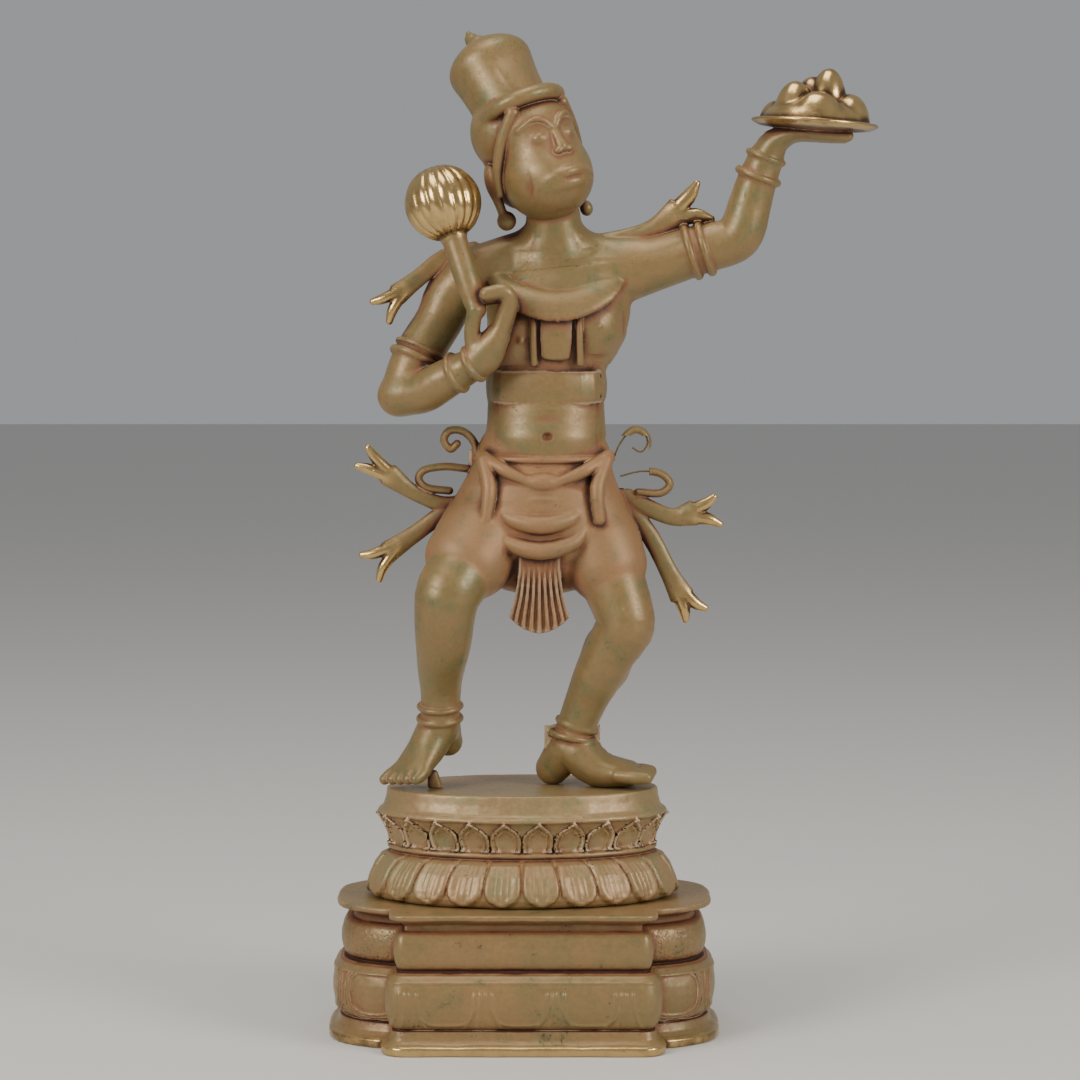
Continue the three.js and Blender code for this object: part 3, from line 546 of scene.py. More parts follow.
def plinth_relief(points):
    x, y, z = points
    on_block = (np.abs(x) < BLOCK_HALF_WIDTH + 9) & (np.abs(y) > LOBE_HALF_DEPTH + 9)
    in_lower = bump_at(z, 22, 15) > 0
    corner = np.array([BLOCK_HALF_WIDTH, LOBE_HALF_DEPTH])
    around = np.hypot(np.abs(x) - corner[0], np.abs(y) - corner[1] - 6)
    height = np.where(on_block & in_lower, 0.55 * wide_petal_lines(x, z), 0)
    petals = 0.6 * lobe_petal_lines(around - LOBE_PETAL_WIDTH / 2, z)
    height = np.where(~on_block & in_lower, petals, height)
    height += 0.5 * ridge_line(z - 32.6, 0.9) + 0.3 * ridge_line(z - 36.4, 0.6)
    rows = np.sin(4.1 * x + np.sin(3.7 * z)) * np.sin(3.9 * z + np.sin(4.3 * y))
    stipple = rows * np.sin(4.3 * y + 1.1 * x)
    height += np.where(~on_block & (z > 38) & (z < 52), 0.28 * stipple, 0)
    return height + hand_waves(points, 31, 0.28) + hand_waves(points, 7, 0.07)


def plinth_form():
    def oval(points):
        return outline_distance(lobe_out(points), points[2], PLINTH_PROFILE)

    def block(points):
        return outline_distance(block_out(points), points[2], PLINTH_PROFILE)

    low = np.array([PLINTH_LOW[0], PLINTH_LOW[1], 0])
    oval_part = Form(oval, [low[0], -LOBE_HALF_DEPTH - 11, 0], [-low[0], LOBE_HALF_DEPTH + 11, PLINTH_TOP])
    half = BLOCK_HALF_WIDTH + 10
    block_part = Form(block, [-half, low[1], 0], [half, -low[1], PLINTH_TOP])
    whole = Relief(Blend([oval_part, block_part], 0.8), plinth_relief, 1.2)
    room = Form(lambda points: np.abs(points[2] - PLINTH_TOP / 2) - PLINTH_TOP / 2, low, -low)
    return Cut(whole, Form(lambda points: -room.distance(points), [-200] * 3, [200] * 3), 0.3)


# The lotus pedestal

OVAL_HALF_WIDTH = 63.0
OVAL_HALF_DEPTH = 37.6
PETAL_COUNT = 22
PEDESTAL_MIDDLE_X = (PEDESTAL_LOW[0] + PEDESTAL_HIGH[0]) / 2
PEDESTAL_PROFILE = [
    [-30, 62.5], [3.5, 62.5], [5.4, 63], [6.4, 64.2], [7, 66.5], [6.6, 69], [5.4, 72.4], [3.8, 76],
    [0.8, 80],
    [-1.8, 82.8], [-2.3, 83.6], [-1.6, 84.2], [-0.9, 85.3], [-1.6, 86.4], [-3, 87], [-3.2, 88.6],
    [-2.2, 92.4],
    [-0.4, 96.6], [1.6, 99.8], [3.1, 100.8], [3.3, 101.6], [2.6, 102.7], [1.5, 103.3], [0.6, 104.4],
    [-0.6, 108],
    [-1.2, 111.6], [-1.7, STANDING_LEVEL], [-30, STANDING_LEVEL],
]
# Each petal is [height, half width] from its foot to its top
RISING_PETAL = np.array([
    [86.8, 7.2], [89, 7.8], [92, 7.9], [94.5, 7.3], [96.6, 5.7], [98.6, 3.2], [100.6, 0.6], [102, 0.1],
])
HANGING_PETAL = np.array([
    [62.6, 0.6], [64, 3.4], [65.6, 5.6], [68.2, 7.3], [72, 8], [77, 7.9], [81, 7.5], [84, 7.2],
])


def arc_table():
    """Arc length round the pedestal's oval, from the middle of its front, against the angle."""
    angles = np.linspace(-math.pi / 2, 1.5 * math.pi, 721)
    steps = np.hypot(np.diff(66 * np.cos(angles)), np.diff(41 * np.sin(angles)))
    return angles, np.concatenate([[0], np.cumsum(steps)])


OVAL_ANGLES, OVAL_ARCS = arc_table()


def oval_out(points):
    """How far outside the pedestal's middle outline a point is."""
    x, y = points[0] - PEDESTAL_MIDDLE_X, points[1]
    out = np.zeros_like(x)
    for _ in range(4):
        wide, deep = OVAL_HALF_WIDTH + out, OVAL_HALF_DEPTH + out
        in_x, in_y = (x / wide) ** 2, (y / deep) ** 2
        share = np.maximum(in_x + in_y, 1e-6)
        rise = (np.sqrt(share) - 1) * share / (in_x / wide + in_y / deep + 1e-6)
        out = np.clip(out + rise, -26, 60)
    return out


def beside_petal(points):
    """Distance in mm round the pedestal from the nearest petal's middle."""
    x, y = points[0] - PEDESTAL_MIDDLE_X, points[1]
    angle = np.arctan2(y / OVAL_HALF_DEPTH, x / OVAL_HALF_WIDTH)
    angle = np.where(angle < -math.pi / 2, angle + 2 * math.pi, angle)
    pitch = OVAL_ARCS[-1] / PETAL_COUNT
    along = np.interp(angle, OVAL_ANGLES, OVAL_ARCS)
    return (along % pitch) - pitch / 2


def petal_edge(beside, z, shape):
    """Roughly how far outside a petal's outline a place on the pedestal's side is."""
    half, above, below = (np.interp(z + step, shape[:, 0], shape[:, 1]) for step in (0, 0.3, -0.3))
    slope = (above - below) / 0.6
    return (np.abs(beside) - half) / np.sqrt(1 + slope * slope)


def pedestal_relief(points):
    z = points[2]
    beside = beside_petal(points)
    rising = petal_edge(beside, z, RISING_PETAL)
    border = 1.7 * step_up(-rising, -0.1, 0.7) - 1.1 * step_up(-rising, 1.5, 2.3)
    inner = 0.5 * ridge_line(rising + 3.3, 0.6) - 0.4 * step_up(-rising, 3.6, 5)
    upper = (border + inner * step_up(-z, -97, -95.5)) * step_up(z, 86.6, 87.3)
    upper *= step_up(-z, -101.8, -100.6)
    hanging = petal_edge(beside, z, HANGING_PETAL)
    lower = 1.8 * step_up(-hanging, -0.3, 1.6) - 0.5 * step_up(-hanging, 2.4, 5)
    veins = 0.22 * ridge_line(np.abs(beside) - 2.4, 0.5) + 0.22 * ridge_line(beside, 0.5)
    lower = (lower + veins * step_up(-hanging, 1, 3)) * step_up(-z, -83.4, -81) * step_up(z, 62.8, 64)
    return upper + lower + hand_waves(points, 23, 0.3) + hand_waves(points, 5.5, 0.06)


def pedestal_form():
    def body(points):
        return outline_distance(oval_out(points), points[2], PEDESTAL_PROFILE)

    whole = Relief(Form(body, PEDESTAL_LOW, PEDESTAL_HIGH), pedestal_relief, 2.2)
    middle = (STANDING_LEVEL + PLINTH_TOP) / 2
    half = (STANDING_LEVEL - PLINTH_TOP) / 2 - 0.15
    outside = Form(lambda points: half - np.abs(points[2] - middle), [-200] * 3, [200] * 3)
    return Cut(whole, outside, 0.3)


# The figure: body

def torso():
    trunk = limb([
        [8, 0, 222, 26, 17], [8.5, 0, 240, 33, 20], [9.4, 0, 258, 29.5, 18.5], [10, -1, 272, 27.4, 19],
        [9.9, 0, 288, 26.4, 16.5], [9, 0, 300, 26.4, 16.5], [11, 0, 312, 28.6, 17.5],
        [14.5, 0, 325, 32.6, 19],
        [15.5, 1, 338, 32.6, 18.5], [14.5, 2, 349, 28, 15], [13.8, 1, 358, 17, 13],
        [13.6, 0, 369, 12.4, 12.5],
        [11.5, -1, 384, 12, 12],
    ], steps=2)
    shoulders = limb([
        [-27, 3, 348, 9, 10], [-8, 4, 354.5, 9, 10], [13, 4, 360, 8.5, 10], [36, 4, 355, 8.6, 10],
        [50, 3, 354, 9, 10],
    ], steps=2)
    breasts = [
        lump([31, -8, 323], [11.5, 10, 11.5]),
        lump([-4, -9, 319], [11.5, 10, 12.5], (0, 15, 0)),
    ]
    nipples = [lump([33.5, -17.6, 322.5], [1.6, 1.6, 1.6]), lump([-1.2, -18.6, 316.2], [1.6, 1.6, 1.6])]
    belly = [
        lump([10, -8, 271], [20.5, 13.5, 13]),
        lump([10.5, -5, 285.5], [20, 12.6, 7]),
    ]
    shape = Blend([Blend([trunk, shoulders, *breasts, *belly], 6), *nipples], 1.2)
    navel = lump([10.5, -22.4, 273], [2.2, 3, 1.8])
    return Cut(shape, navel, 1.5)


def legs():
    trailing = limb([
        [-12, 1, 240, 17, 16], [-22, -12, 221, 16.2, 15.5], [-33, -25, 205, 15, 14],
        [-35.5, -25, 193, 13.7, 13],
        [-36.3, -20, 180, 12.6, 12.4], [-37.7, -12.5, 166, 10.4, 10.6], [-37.9, -8, 155, 9.1, 9.4],
        [-38.4, -5, 139, 8.8, 9.4],
    ], front=(0, -1, 0.1))
    leading = limb([
        [29, 1, 238, 18, 16], [37, -7, 216, 15.5, 15], [45.9, -14, 191, 13.3, 13],
        [43.8, -13, 183, 12.9, 12.6],
        [39.3, -11, 175.5, 12.1, 12], [33.2, -8, 163, 11, 11], [28.4, -4, 152, 9.6, 9.8],
        [22.4, 0, 136, 8.6, 9.4],
    ], front=(0, -1, 0.1))
    calves = [
        lump([-37.5, -10, 176], [9.5, 10, 15], (-14, 0, 0)),
        lump([38, -4, 172], [9.5, 9.5, 14], (0, -22, 0)),
    ]
    return Blend([trailing, leading, *calves], 4)


def foot(sole, toe, toe_length):
    """A foot through [x, y, z, half width, half height] at heel, ankle, instep and ball, with five toes."""
    heel, ball = np.array(sole[0][:3], float), np.array(sole[3][:3], float)
    way = (ball - heel) / np.linalg.norm(ball - heel)
    across = np.cross([0, 0, 1], way)
    across /= np.linalg.norm(across)
    body = limb(sole, front=(0, 0, 1))
    toes = []
    for i in range(5):
        root = ball + across * (i - 2) * toe * 1.55
        tip = root + way * (toe_length - i * 0.9)
        stations = [[*(root - way * 2), toe * 0.9], [*((root + tip) / 2), toe], [*tip, toe * 0.86]]
        toes.append(limb(stations, front=(0, 0, 1)))
    return Blend([body, *toes], 1.2)


def feet():
    trailing = foot([
        [-35, 2, 132.5, 6.8, 6.8], [-38.6, -3, 139, 9, 9.6], [-45, -8.5, 129.5, 9.8, 7.8],
        [-52, -14, 120.5, 11.5, 5.2],
    ], 2.9, 8)
    leading = foot([
        [13, 5, 119.6, 7.6, 7.8], [21.5, 0, 129, 9.4, 10], [34, -3, 120.4, 10.8, 8.6],
        [47.5, -5, 118.6, 12, 6],
    ], 3.4, 11.5)
    stub = limb([[-40, -9, 110, 4, 2.5], [-41.5, -10, 119, 2.5, 2]])
    return Blend([trailing, leading, stub], 1)


def arms():
    folded = limb([
        [-12, 3, 345, 12, 12], [-24, 3, 344, 12.5, 12.5], [-33, 3, 336.5, 12, 12],
        [-38.5, 1, 325, 10.8, 11],
        [-46, -2, 313, 10.9, 11], [-51, -4, 303, 10.8, 11], [-56, -6.5, 291.5, 9.2, 10],
    ], front=(0.4, -1, 0.2))
    forearm = limb([
        [-57, -7, 291, 8.8, 9], [-46, -13, 292.5, 9.2, 9.5], [-36.5, -18.5, 298, 9, 9],
        [-23, -24, 305.5, 7.4, 7.6],
    ], front=(0.4, -1, 0.2))
    raised = limb([
        [32, 2, 343, 13.5, 14], [44, 3, 347, 14.5, 13.5], [60, 1, 351, 12.4, 12],
        [80, -2, 357.2, 11.2, 11.2],
        [94, -4, 361, 10.6, 10.6], [98.8, -5, 366.5, 10.4, 10.4], [101.6, -5, 376, 9.8, 9.8],
        [104.8, -6, 387, 9, 9], [108.8, -7, 397.5, 8, 8],
    ], front=(-0.2, -1, 0.3))
    return Blend([Blend([folded, forearm], 3), raised], 3)


def gripping_hand():
    palm = limb([[-25, -23.5, 304.5, 7, 7], [-18, -26, 309.5, 8.5, 7], [-12, -27, 318, 6, 6.5]])
    thumb = limb([[-21.5, -26, 311, 4.2], [-23, -28, 320, 3.6], [-21.6, -31, 330, 3.4]])
    fingers = []
    for i in range(3):
        back = i * 4.6
        fingers.append(limb([
            [-13, -29 + back, 314, 4], [-9.4, -30 + back, 324 - i, 3.9], [-6.4, -32 + back, 333.5 - i, 3.8],
            [-9, -34 + back, 338 - i, 3.6], [-16.5, -35 + back, 337 - i, 3.1],
        ]))
    return Blend([palm, thumb, *fingers], 1.4)


def open_hand():
    palm = limb([
        [108.8, -7, 397.5, 8, 8], [113, -7.5, 405, 8.8, 6.4], [121, -8, 409, 11, 4.4],
        [131, -8.5, 408.8, 11, 3.6],
    ], front=(-0.7, 0, 1))
    fingers = [
        limb([[129, y, 408.6, 3], [138, y, 407.8, 2.8], [145, y, 407.4, 2.5]], front=(0, 0, 1))
        for y in (-17, -11.4, -5.8, -0.2)
    ]
    thumb = limb([[113, 0, 404, 3], [120, 5, 408, 2.8], [128, 7.5, 409.5, 2.4]], front=(0, 0, 1))
    return Blend([palm, thumb, *fingers], 1.2)


def ring_form(*args, **options):
    return limb(ring(*args, **options), steps=2, closed=True)


def limb_rings():
    anklets = [
        ring_form([-38.2, -7, 149.8], [0.02, 0.2, -0.98], 9.3, 1.4),
        ring_form([-38.4, -5.4, 144], [0.02, 0.2, -0.98], 9.2, 1.6),
        ring_form([24.2, -0.8, 140.5], [0.3, -0.1, 0.95], 8.8, 1.4),
        ring_form([22, 0, 135], [0.2, 0, 0.98], 9.5, 1.7),
    ]
    arm_rings = [
        ring_form([-49, -3, 307.5], [0.42, 0.2, 0.88], 11.2, 1.7),
        ring_form([-47, -2.5, 311.5], [0.42, 0.2, 0.88], 11.1, 1.2),
        ring_form([-30, -21, 301.8], [0.86, -0.4, 0.4], 8.6, 1.3),
        ring_form([-22.5, -24.2, 305.8], [0.84, -0.35, 0.5], 7.9, 1.3),
        ring_form([76, -1.4, 356], [0.95, -0.1, 0.3], 11.4, 1.7),
        ring_form([82, -2.2, 357.6], [0.95, -0.1, 0.3], 11.3, 1.7),
        ring_form([105.6, -6, 390], [0.34, -0.1, 0.92], 9.3, 1.5),
        ring_form([109, -7, 398.5], [0.34, -0.1, 0.92], 8.2, 1.2),
    ]
    return Blend(anklets + arm_rings, 0.5)


# The figure: head, made facing -Y about its own middle

HEAD_PLACE = (8, -6, 395)
HEAD_YAW = 29
HEAD_ROLL = 14.5


def face():
    skull = Blend([
        lump([0, -1, 14], [17.8, 18, 17.5]), lump([0, -2.5, -5], [20.8, 20.6, 20.6]),
        lump([0, -11, -8.5], [14, 13.5, 11.5]),
    ], 6)
    nose = limb([[0, -18.5, 14, 1.8], [0, -20.6, 9, 2.2], [0, -22, 5, 2.8]])
    nostrils = [lump([side * 2.6, -22.4, 3.6], [2.2, 2.2, 1.7]) for side in (LEFT, RIGHT)]
    lips = [
        limb([[-12.5, -17.5, -9.8, 1.6], [-7, -22.6, -7.4, 2.2], [0, -24.6, -6.6, 2.6],
              [7, -22.6, -7.4, 2.2],
              [12.5, -17.5, -9.8, 1.6]], front=(0, 0, 1)),
        limb([[-11, -18, -11.8, 1.6], [-6, -22, -11.4, 2.4], [0, -23.4, -11.2, 2.8], [6, -22, -11.4, 2.4],
              [11, -18, -11.8, 1.6]], front=(0, 0, 1)),
    ]
    brows = [limb([[s * 1, -19.4, 14.6, 1], [s * 4.5, -19, 18.4, 1.2], [s * 9, -16.8, 19.6, 1.2],
                   [s * 14, -11.5, 16.4, 0.9]]) for s in (LEFT, RIGHT)]
    eyes = [lump([s * 7, -16.6, 11], [3.4, 2.6, 2.5]) for s in (LEFT, RIGHT)]
    features = Blend([nose, *nostrils, *brows, *eyes, *lips], 0.8)
    return Blend([skull, features], 1.6)


def ears_and_rings():
    ears = [lump([s * 20, 12, -2], [3, 5, 8.5]) for s in (LEFT, RIGHT)]
    return Blend([
        *ears,
        limb([[-20, 12, -8, 2.4], [-18.5, 13, -16, 2]]),
        lump([-17.2, 13.5, -20.3], [4.4, 4.2, 4.4]),
        limb([[19.5, 9, -8, 2.4], [19.5, 6, -18, 2]]),
        lump([19.6, 4.5, -23.5], [3, 3, 3.6]),
    ], 1)


def hair():
    locks = [
        limb([[s * 13, -9, 25, 3], [s * 18.5, -3, 14, 2.8], [s * 21.4, 2, 2, 2.5], [s * 21.5, 5, -8, 2]])
        for s in (LEFT, RIGHT)
    ]
    return Blend([
        Blend([lump([-1, 12, 18], [22, 19.5, 20.5]), lump([-1, 15, 0], [18, 14, 18])], 3),
        ring_form([-0.6, 3, 27.5], [0, 0.22, 0.97], 16.6, 3.8),
        *locks,
    ], 1)


def crown():
    cap = limb([
        [0, 13, 28, 18, 17.5], [0, 16.6, 35.8, 18, 17.5], [0, 20, 43, 18.8, 18.2],
        [0, 23.4, 50, 19.8, 19.2],
        [0, 25.6, 54.6, 17.6, 17], [0, 27.6, 58.6, 11.5, 11], [0, 28.6, 60.4, 5, 5],
    ])
    crest = limb([[0, -1.5, 33, 6, 2.5], [0, 2, 41, 8, 3], [0, 6, 49, 8, 3], [0, 10.5, 56, 5, 2.5]])
    finial = limb([[0, 29, 58, 3], [0, 32, 62, 3.6], [0, 34.6, 65.4, 3], [0, 35.4, 67.3, 1.4]])
    return Blend([cap, crest, finial], 0.8)


def head():
    shape = Blend([face(), ears_and_rings(), hair(), crown()], 0.8)
    return Placed(shape, turned((0, -HEAD_ROLL, 0)) @ turned((0, 0, HEAD_YAW)), HEAD_PLACE)


# The figure: cloth and jewellery

def loincloth():
    hips = limb([
        [7.5, 0, 219, 34, 19], [7.5, -1, 228, 41, 23.5], [8, -1, 242, 39, 23.5], [9, 0, 256, 33, 21.5],
        [9.6, 0, 264, 30.5, 20],
    ])
    near_leg = limb([
        [-10, 2, 240, 20, 19], [-19, -7, 227, 20.5, 19.5], [-25, -14, 217.5, 20, 18.5],
    ], front=(0, -1, 0.6))
    far_leg = limb([
        [25, 1, 238, 20, 18.5], [34, -4, 224, 19, 18.5], [37.5, -6.5, 214.5, 18.4, 18],
    ], front=(0, -1, 0.4))
    return Blend([hips, near_leg, far_leg], 2)


def front_drape():
    middle_x = 7.5

    def swag(z, y, half_span, drop, tube, lift):
        return limb([
            [middle_x - half_span, y + 3, z + lift, tube * 0.7],
            [middle_x - half_span * 0.75, y, z - drop * 0.45, tube],
            [middle_x, y - 3, z - drop, tube * 1.15],
            [middle_x + half_span * 0.75, y, z - drop * 0.45, tube],
            [middle_x + half_span, y + 3, z + lift, tube * 0.7],
        ])

    return Blend([
        swag(238, -22, 17, 4.5, 3.8, 2),
        swag(229, -22, 20, 7, 3.6, 4),
        lump([8.5, -20.5, 252.5], [9.5, 5, 4.6]),
        lump([8.5, -20.5, 245], [8.5, 4.5, 2.6]),
        ring_form([9.4, 0, 262.5], [0, 0, 1], 31, 1.7, squash=0.66, count=28),
        limb([[-19, -13, 264, 3], [-9, -20, 258, 3], [2, -22, 253, 2.2]]),
        limb([[38, -12, 264, 3], [28, -20, 258, 3], [16, -22, 253, 2.2]]),
        limb([[-18, -15, 262, 3.4], [-15.5, -21, 250, 3.4], [-17, -23, 236, 2.6]]),
        limb([[37, -14, 262, 3.4], [33, -21, 250, 3.4], [34, -22, 236, 2.6]]),
    ], 1)


def pleats():
    """The pleated end of the loincloth: a fan of folds that widens and steps down towards its middle."""
    track = Track([
        [7, -18, 226, 9, 2], [7, -18.5, 214, 9.3, 2.4], [7, -19, 202, 10.8, 2.6],
        [7, -19.4, 192, 13.6, 2.6],
        [7, -19.6, 182, 16.4, 2.4],
    ])

    def distance(points):
        _, across, out, past, half_width, half_depth = track.locate(points)
        share = across / half_width
        folded = half_depth + 0.9 * np.cos(share * math.pi * 8) * step_up(-points[2], -220, -204)
        edge = np.maximum(np.abs(across) - half_width, np.abs(out) - folded)
        hem = 184.4 + 7.5 * np.abs(share) ** 1.7 - points[2]
        return np.maximum(np.maximum(edge, hem), past - 2) * 0.8

    return Form(distance, *track.box(2))


def jewellery():
    collar = limb([
        [-11, 3, 354, 3.4, 1.6], [-12, -8, 345, 4.6, 1.8], [-4, -17, 336.5, 6.6, 2.2],
        [15, -20.5, 331.5, 8, 2.4],
        [34, -16, 337, 6.6, 2.2], [41, -7, 345.5, 4.6, 1.8], [39, 3, 353, 3.4, 1.6],
    ], front=(0.02, -1, 0.5))
    tongue = limb([[14.5, -19.5, 330, 7, 1.8], [14.5, -20.5, 318, 7.2, 1.8], [14.3, -19, 309, 6.5, 1.8]])
    strings = [limb([[x, -19, 330, 1.6], [x, -20, 318, 1.6], [x + 0.4, -18, 306, 1.6]]) for x in (4.3, 25)]
    belly_band = limb([
        [-15.6, 0, 296, 1.6, 7.5], [-10, -12.5, 295, 1.6, 7.5], [11, -17.5, 295, 1.8, 7.5],
        [31, -12.5, 295, 1.6, 7.5], [36.2, 0, 296, 1.6, 7.5],
    ], front=(0, 0, 1))
    return Blend([collar, tongue, *strings, belly_band], 0.6)


def sash(stations, tips, front=(0, -1, 0)):
    """A cloth band whose broad side faces along front, with a forked, flaring end given by two tips."""
    last, before = np.array(stations[-1], float), np.array(stations[-2], float)
    forks = []
    for tip in tips:
        tip = np.array(tip, float)
        forks.append(limb([
            [*((before + last) / 2)[:3], last[3] * 0.55, last[4]],
            [*(last[:3] + tip) / 2, last[3] * 0.5, last[4] * 1.2],
            [*tip, 1.6, 1.4],
        ], front))
    return Blend([limb(stations, front), *forks], 0.8)


def curl(points):
    return limb([[x, 1, z, 1.8, 3.4] for x, z in points])


def sashes():
    return Blend([
        sash([[-22, 4, 356, 5, 3], [-36, 0, 353, 4.4, 2.6], [-48, -3, 344, 4, 2.2], [-57, -4, 337, 5, 2.2]],
             [[-68.5, -4, 333.5], [-61, -4, 324.5]]),
        sash([[34.5, 3, 359, 5.4, 3.4], [48, 2, 362, 5, 2.8], [59.4, 0, 366.8, 4.6, 2.4],
              [70, -1, 374, 7, 2.2]],
             [[78.3, -2, 387], [85, -2, 370.8]]),
        curl([[-21.2, 260], [-22.4, 269], [-27.5, 274.6], [-34, 275], [-36.6, 270.5], [-33.5, 266.6],
              [-30.5, 269]]),
        curl([[-25.7, 257.6], [-36, 258.6], [-45.6, 257], [-48, 252.6], [-44, 248.8], [-34, 247.6]]),
        curl([[40.7, 262], [43.9, 269.2], [49, 275], [54, 274.5], [56.5, 269.5], [53.5, 265], [49.5, 267]]),
        curl([[44, 254], [52.9, 256.2], [62, 255.6], [66.6, 250.6], [62, 246.4], [52, 247]]),
        sash([[-26, 2, 242, 4, 3], [-37.3, 0, 241.5, 3.6, 2.4], [-49.8, -1, 246.4, 3.4, 2.2],
              [-61.5, -2, 255, 5.4, 2.2]],
             [[-71, -2, 267.4], [-76, -2, 259]]),
        sash([[-26, 2, 241, 4, 3], [-36.4, 0, 237.5, 4, 2.4], [-49.8, -1, 228, 4, 2.2],
              [-61.5, -2, 220, 5.2, 2.2]],
             [[-74, -2, 218.4], [-66, -2, 207]]),
        sash([[44, 2, 246, 4.4, 3], [57, 0, 239.6, 4, 2.4], [68, -1, 235.6, 4, 2.2],
              [77, -2, 237.6, 6, 2.2]],
             [[86.6, -2, 245], [89.4, -2, 232.4]]),
        sash([[44, 2, 244, 4.4, 3], [57.5, 0, 227, 4.2, 2.4], [65.8, -1, 211, 4.2, 2.2],
              [71.8, -2, 200, 5.8, 2.2]],
             [[73.8, -2, 188.6], [82.8, -2, 194]]),
    ], 0.8)


# The figure: mace and mountain

MACE_HEAD = np.array([-36.1, -18, 377.6])
MACE_FOOT = np.array([-21, -29, 330.0])
MACE_RADIUS = 17.2
MACE_FLUTES = 18


def mace():
    axis = (MACE_HEAD - MACE_FOOT) / np.linalg.norm(MACE_HEAD - MACE_FOOT)
    side = np.cross(axis, [0, 1, 0])
    side /= np.linalg.norm(side)
    other = np.cross(axis, side)
    reach = (MACE_HEAD - MACE_FOOT)
    lower_grip, upper_grip = MACE_FOOT + 0.3 * reach, MACE_FOOT + 0.75 * reach
    handle = limb([[*MACE_FOOT, 4.4], [*lower_grip, 5.6], [*upper_grip, 5.6]])

    def flutes(points):
        away = points - MACE_HEAD[:, None].astype(np.float32)
        height, u, v = axis @ away, side @ away, other @ away
        around = np.arctan2(v, u) * MACE_FLUTES
        open_ = step_up(-np.abs(height) / MACE_RADIUS, -0.97, -0.86)
        return (0.9 * np.abs(np.cos(around / 2)) ** 0.7 - 0.6) * open_

    ball = Relief(lump(MACE_HEAD, [MACE_RADIUS * 0.985] * 3), flutes, 1)
    collar = ring_form(MACE_HEAD - axis * MACE_RADIUS * 0.96, axis, 4.6, 1.6)
    return Blend([handle, ball, collar], 0.8)


MOUNTAIN_PLACE = (130.8, -8, 412.6)
MOUNTAIN_TILT = 4
PLATE_RADIUS = 28.4
ROCKS = [
    [0, 0, 0, 24, 23, 13], [5, 1, 6, 9, 9, 20], [-2, 4, 4, 9, 9, 18], [-10, -4, 2, 9.5, 9, 17],
    [0, -13, 0, 12, 9, 14.5], [15, -2, 1, 9.5, 11, 14], [10, 11, 1, 9, 9, 15], [-9, 11, 1, 10, 9, 15],
    [-18, 3, 0, 7, 8, 10],
]


def mountain():
    edge = PLATE_RADIUS
    rim = [[-1, -2.8], [12, -2.6], [edge - 3, -1], [edge + 0.3, 0.6], [edge, 1.8], [-1, 2]]

    def plate_distance(points):
        return outline_distance(np.hypot(points[0], points[1]), points[2], rim)

    plate = Form(plate_distance, [-edge - 1, -edge - 1, -3], [edge + 1, edge + 1, 3])
    rocks = Blend([lump([x, y, z], [a, b, h]) for x, y, z, a, b, h in ROCKS], 1.2)
    below = Form(lambda points: points[2] - 0.5, [-60, -60, -60], [60, 60, 0.5])
    return Placed(Blend([plate, Cut(rocks, below)], 0.8), turned((0, MOUNTAIN_TILT, 0)), MOUNTAIN_PLACE)


# Sash ends, as [x, y, z, radius]
POLISHED_SPOTS = [
    [-66, -4, 329, 13], [80, -2, 380, 11], [-74, -2, 262, 12], [-71, -2, 213, 13], [88, -2, 239, 8],
    [78, -2, 191, 9],
]


def figure_polish(points):
    """Mace head, mountain, plate and sash ends, where the patina was polished off."""
    away = points - MACE_HEAD[:, None]
    share = step_up(-np.sqrt((away ** 2).sum(0)), -MACE_RADIUS - 2.5, -MACE_RADIUS - 0.5)
    slope = math.sin(math.radians(MOUNTAIN_TILT))
    above = points[2] - MOUNTAIN_PLACE[2] + (points[0] - MOUNTAIN_PLACE[0]) * slope
    share = np.maximum(share, step_up(above, -2.4, -0.8) * (points[0] > 98))
    for x, y, z, radius in POLISHED_SPOTS:
        gap = np.sqrt((points[0] - x) ** 2 + (points[1] - y) ** 2 + (points[2] - z) ** 2)
        share = np.maximum(share, 0.92 * step_up(-gap, -radius - 7, -radius))
    return share


def figure_cloth(points):
    cloth = Blend([loincloth(), front_drape(), pleats()], 0.8)
    return step_up(-distances(cloth, points.T, 3), -1.2, -0.4)


def figure_form():
    body = Blend([torso(), arms(), legs()], 3)
    dressed = Blend([
        body, feet(), gripping_hand(), open_hand(), limb_rings(), head(), loincloth(), front_drape(),
        pleats(), jewellery(), sashes(), mace(), mountain(),
    ], 0.8)
    ground = Form(lambda points: points[2] - STANDING_LEVEL - 0.12, [-300] * 3, [300, 300, STANDING_LEVEL])
    return Cut(dressed, ground, 0.2)


# Marks: where grime gathers, where hands have rubbed, what is polished, what is cloth

MARK_REACH = 9
MARK_GAIN = 1.5
RECESS_HEIGHTS = (0.9, 2.4, 6)  # above the skin, where a recess is felt
EDGE_DEPTH = 1.3  # below the skin, where an edge is felt


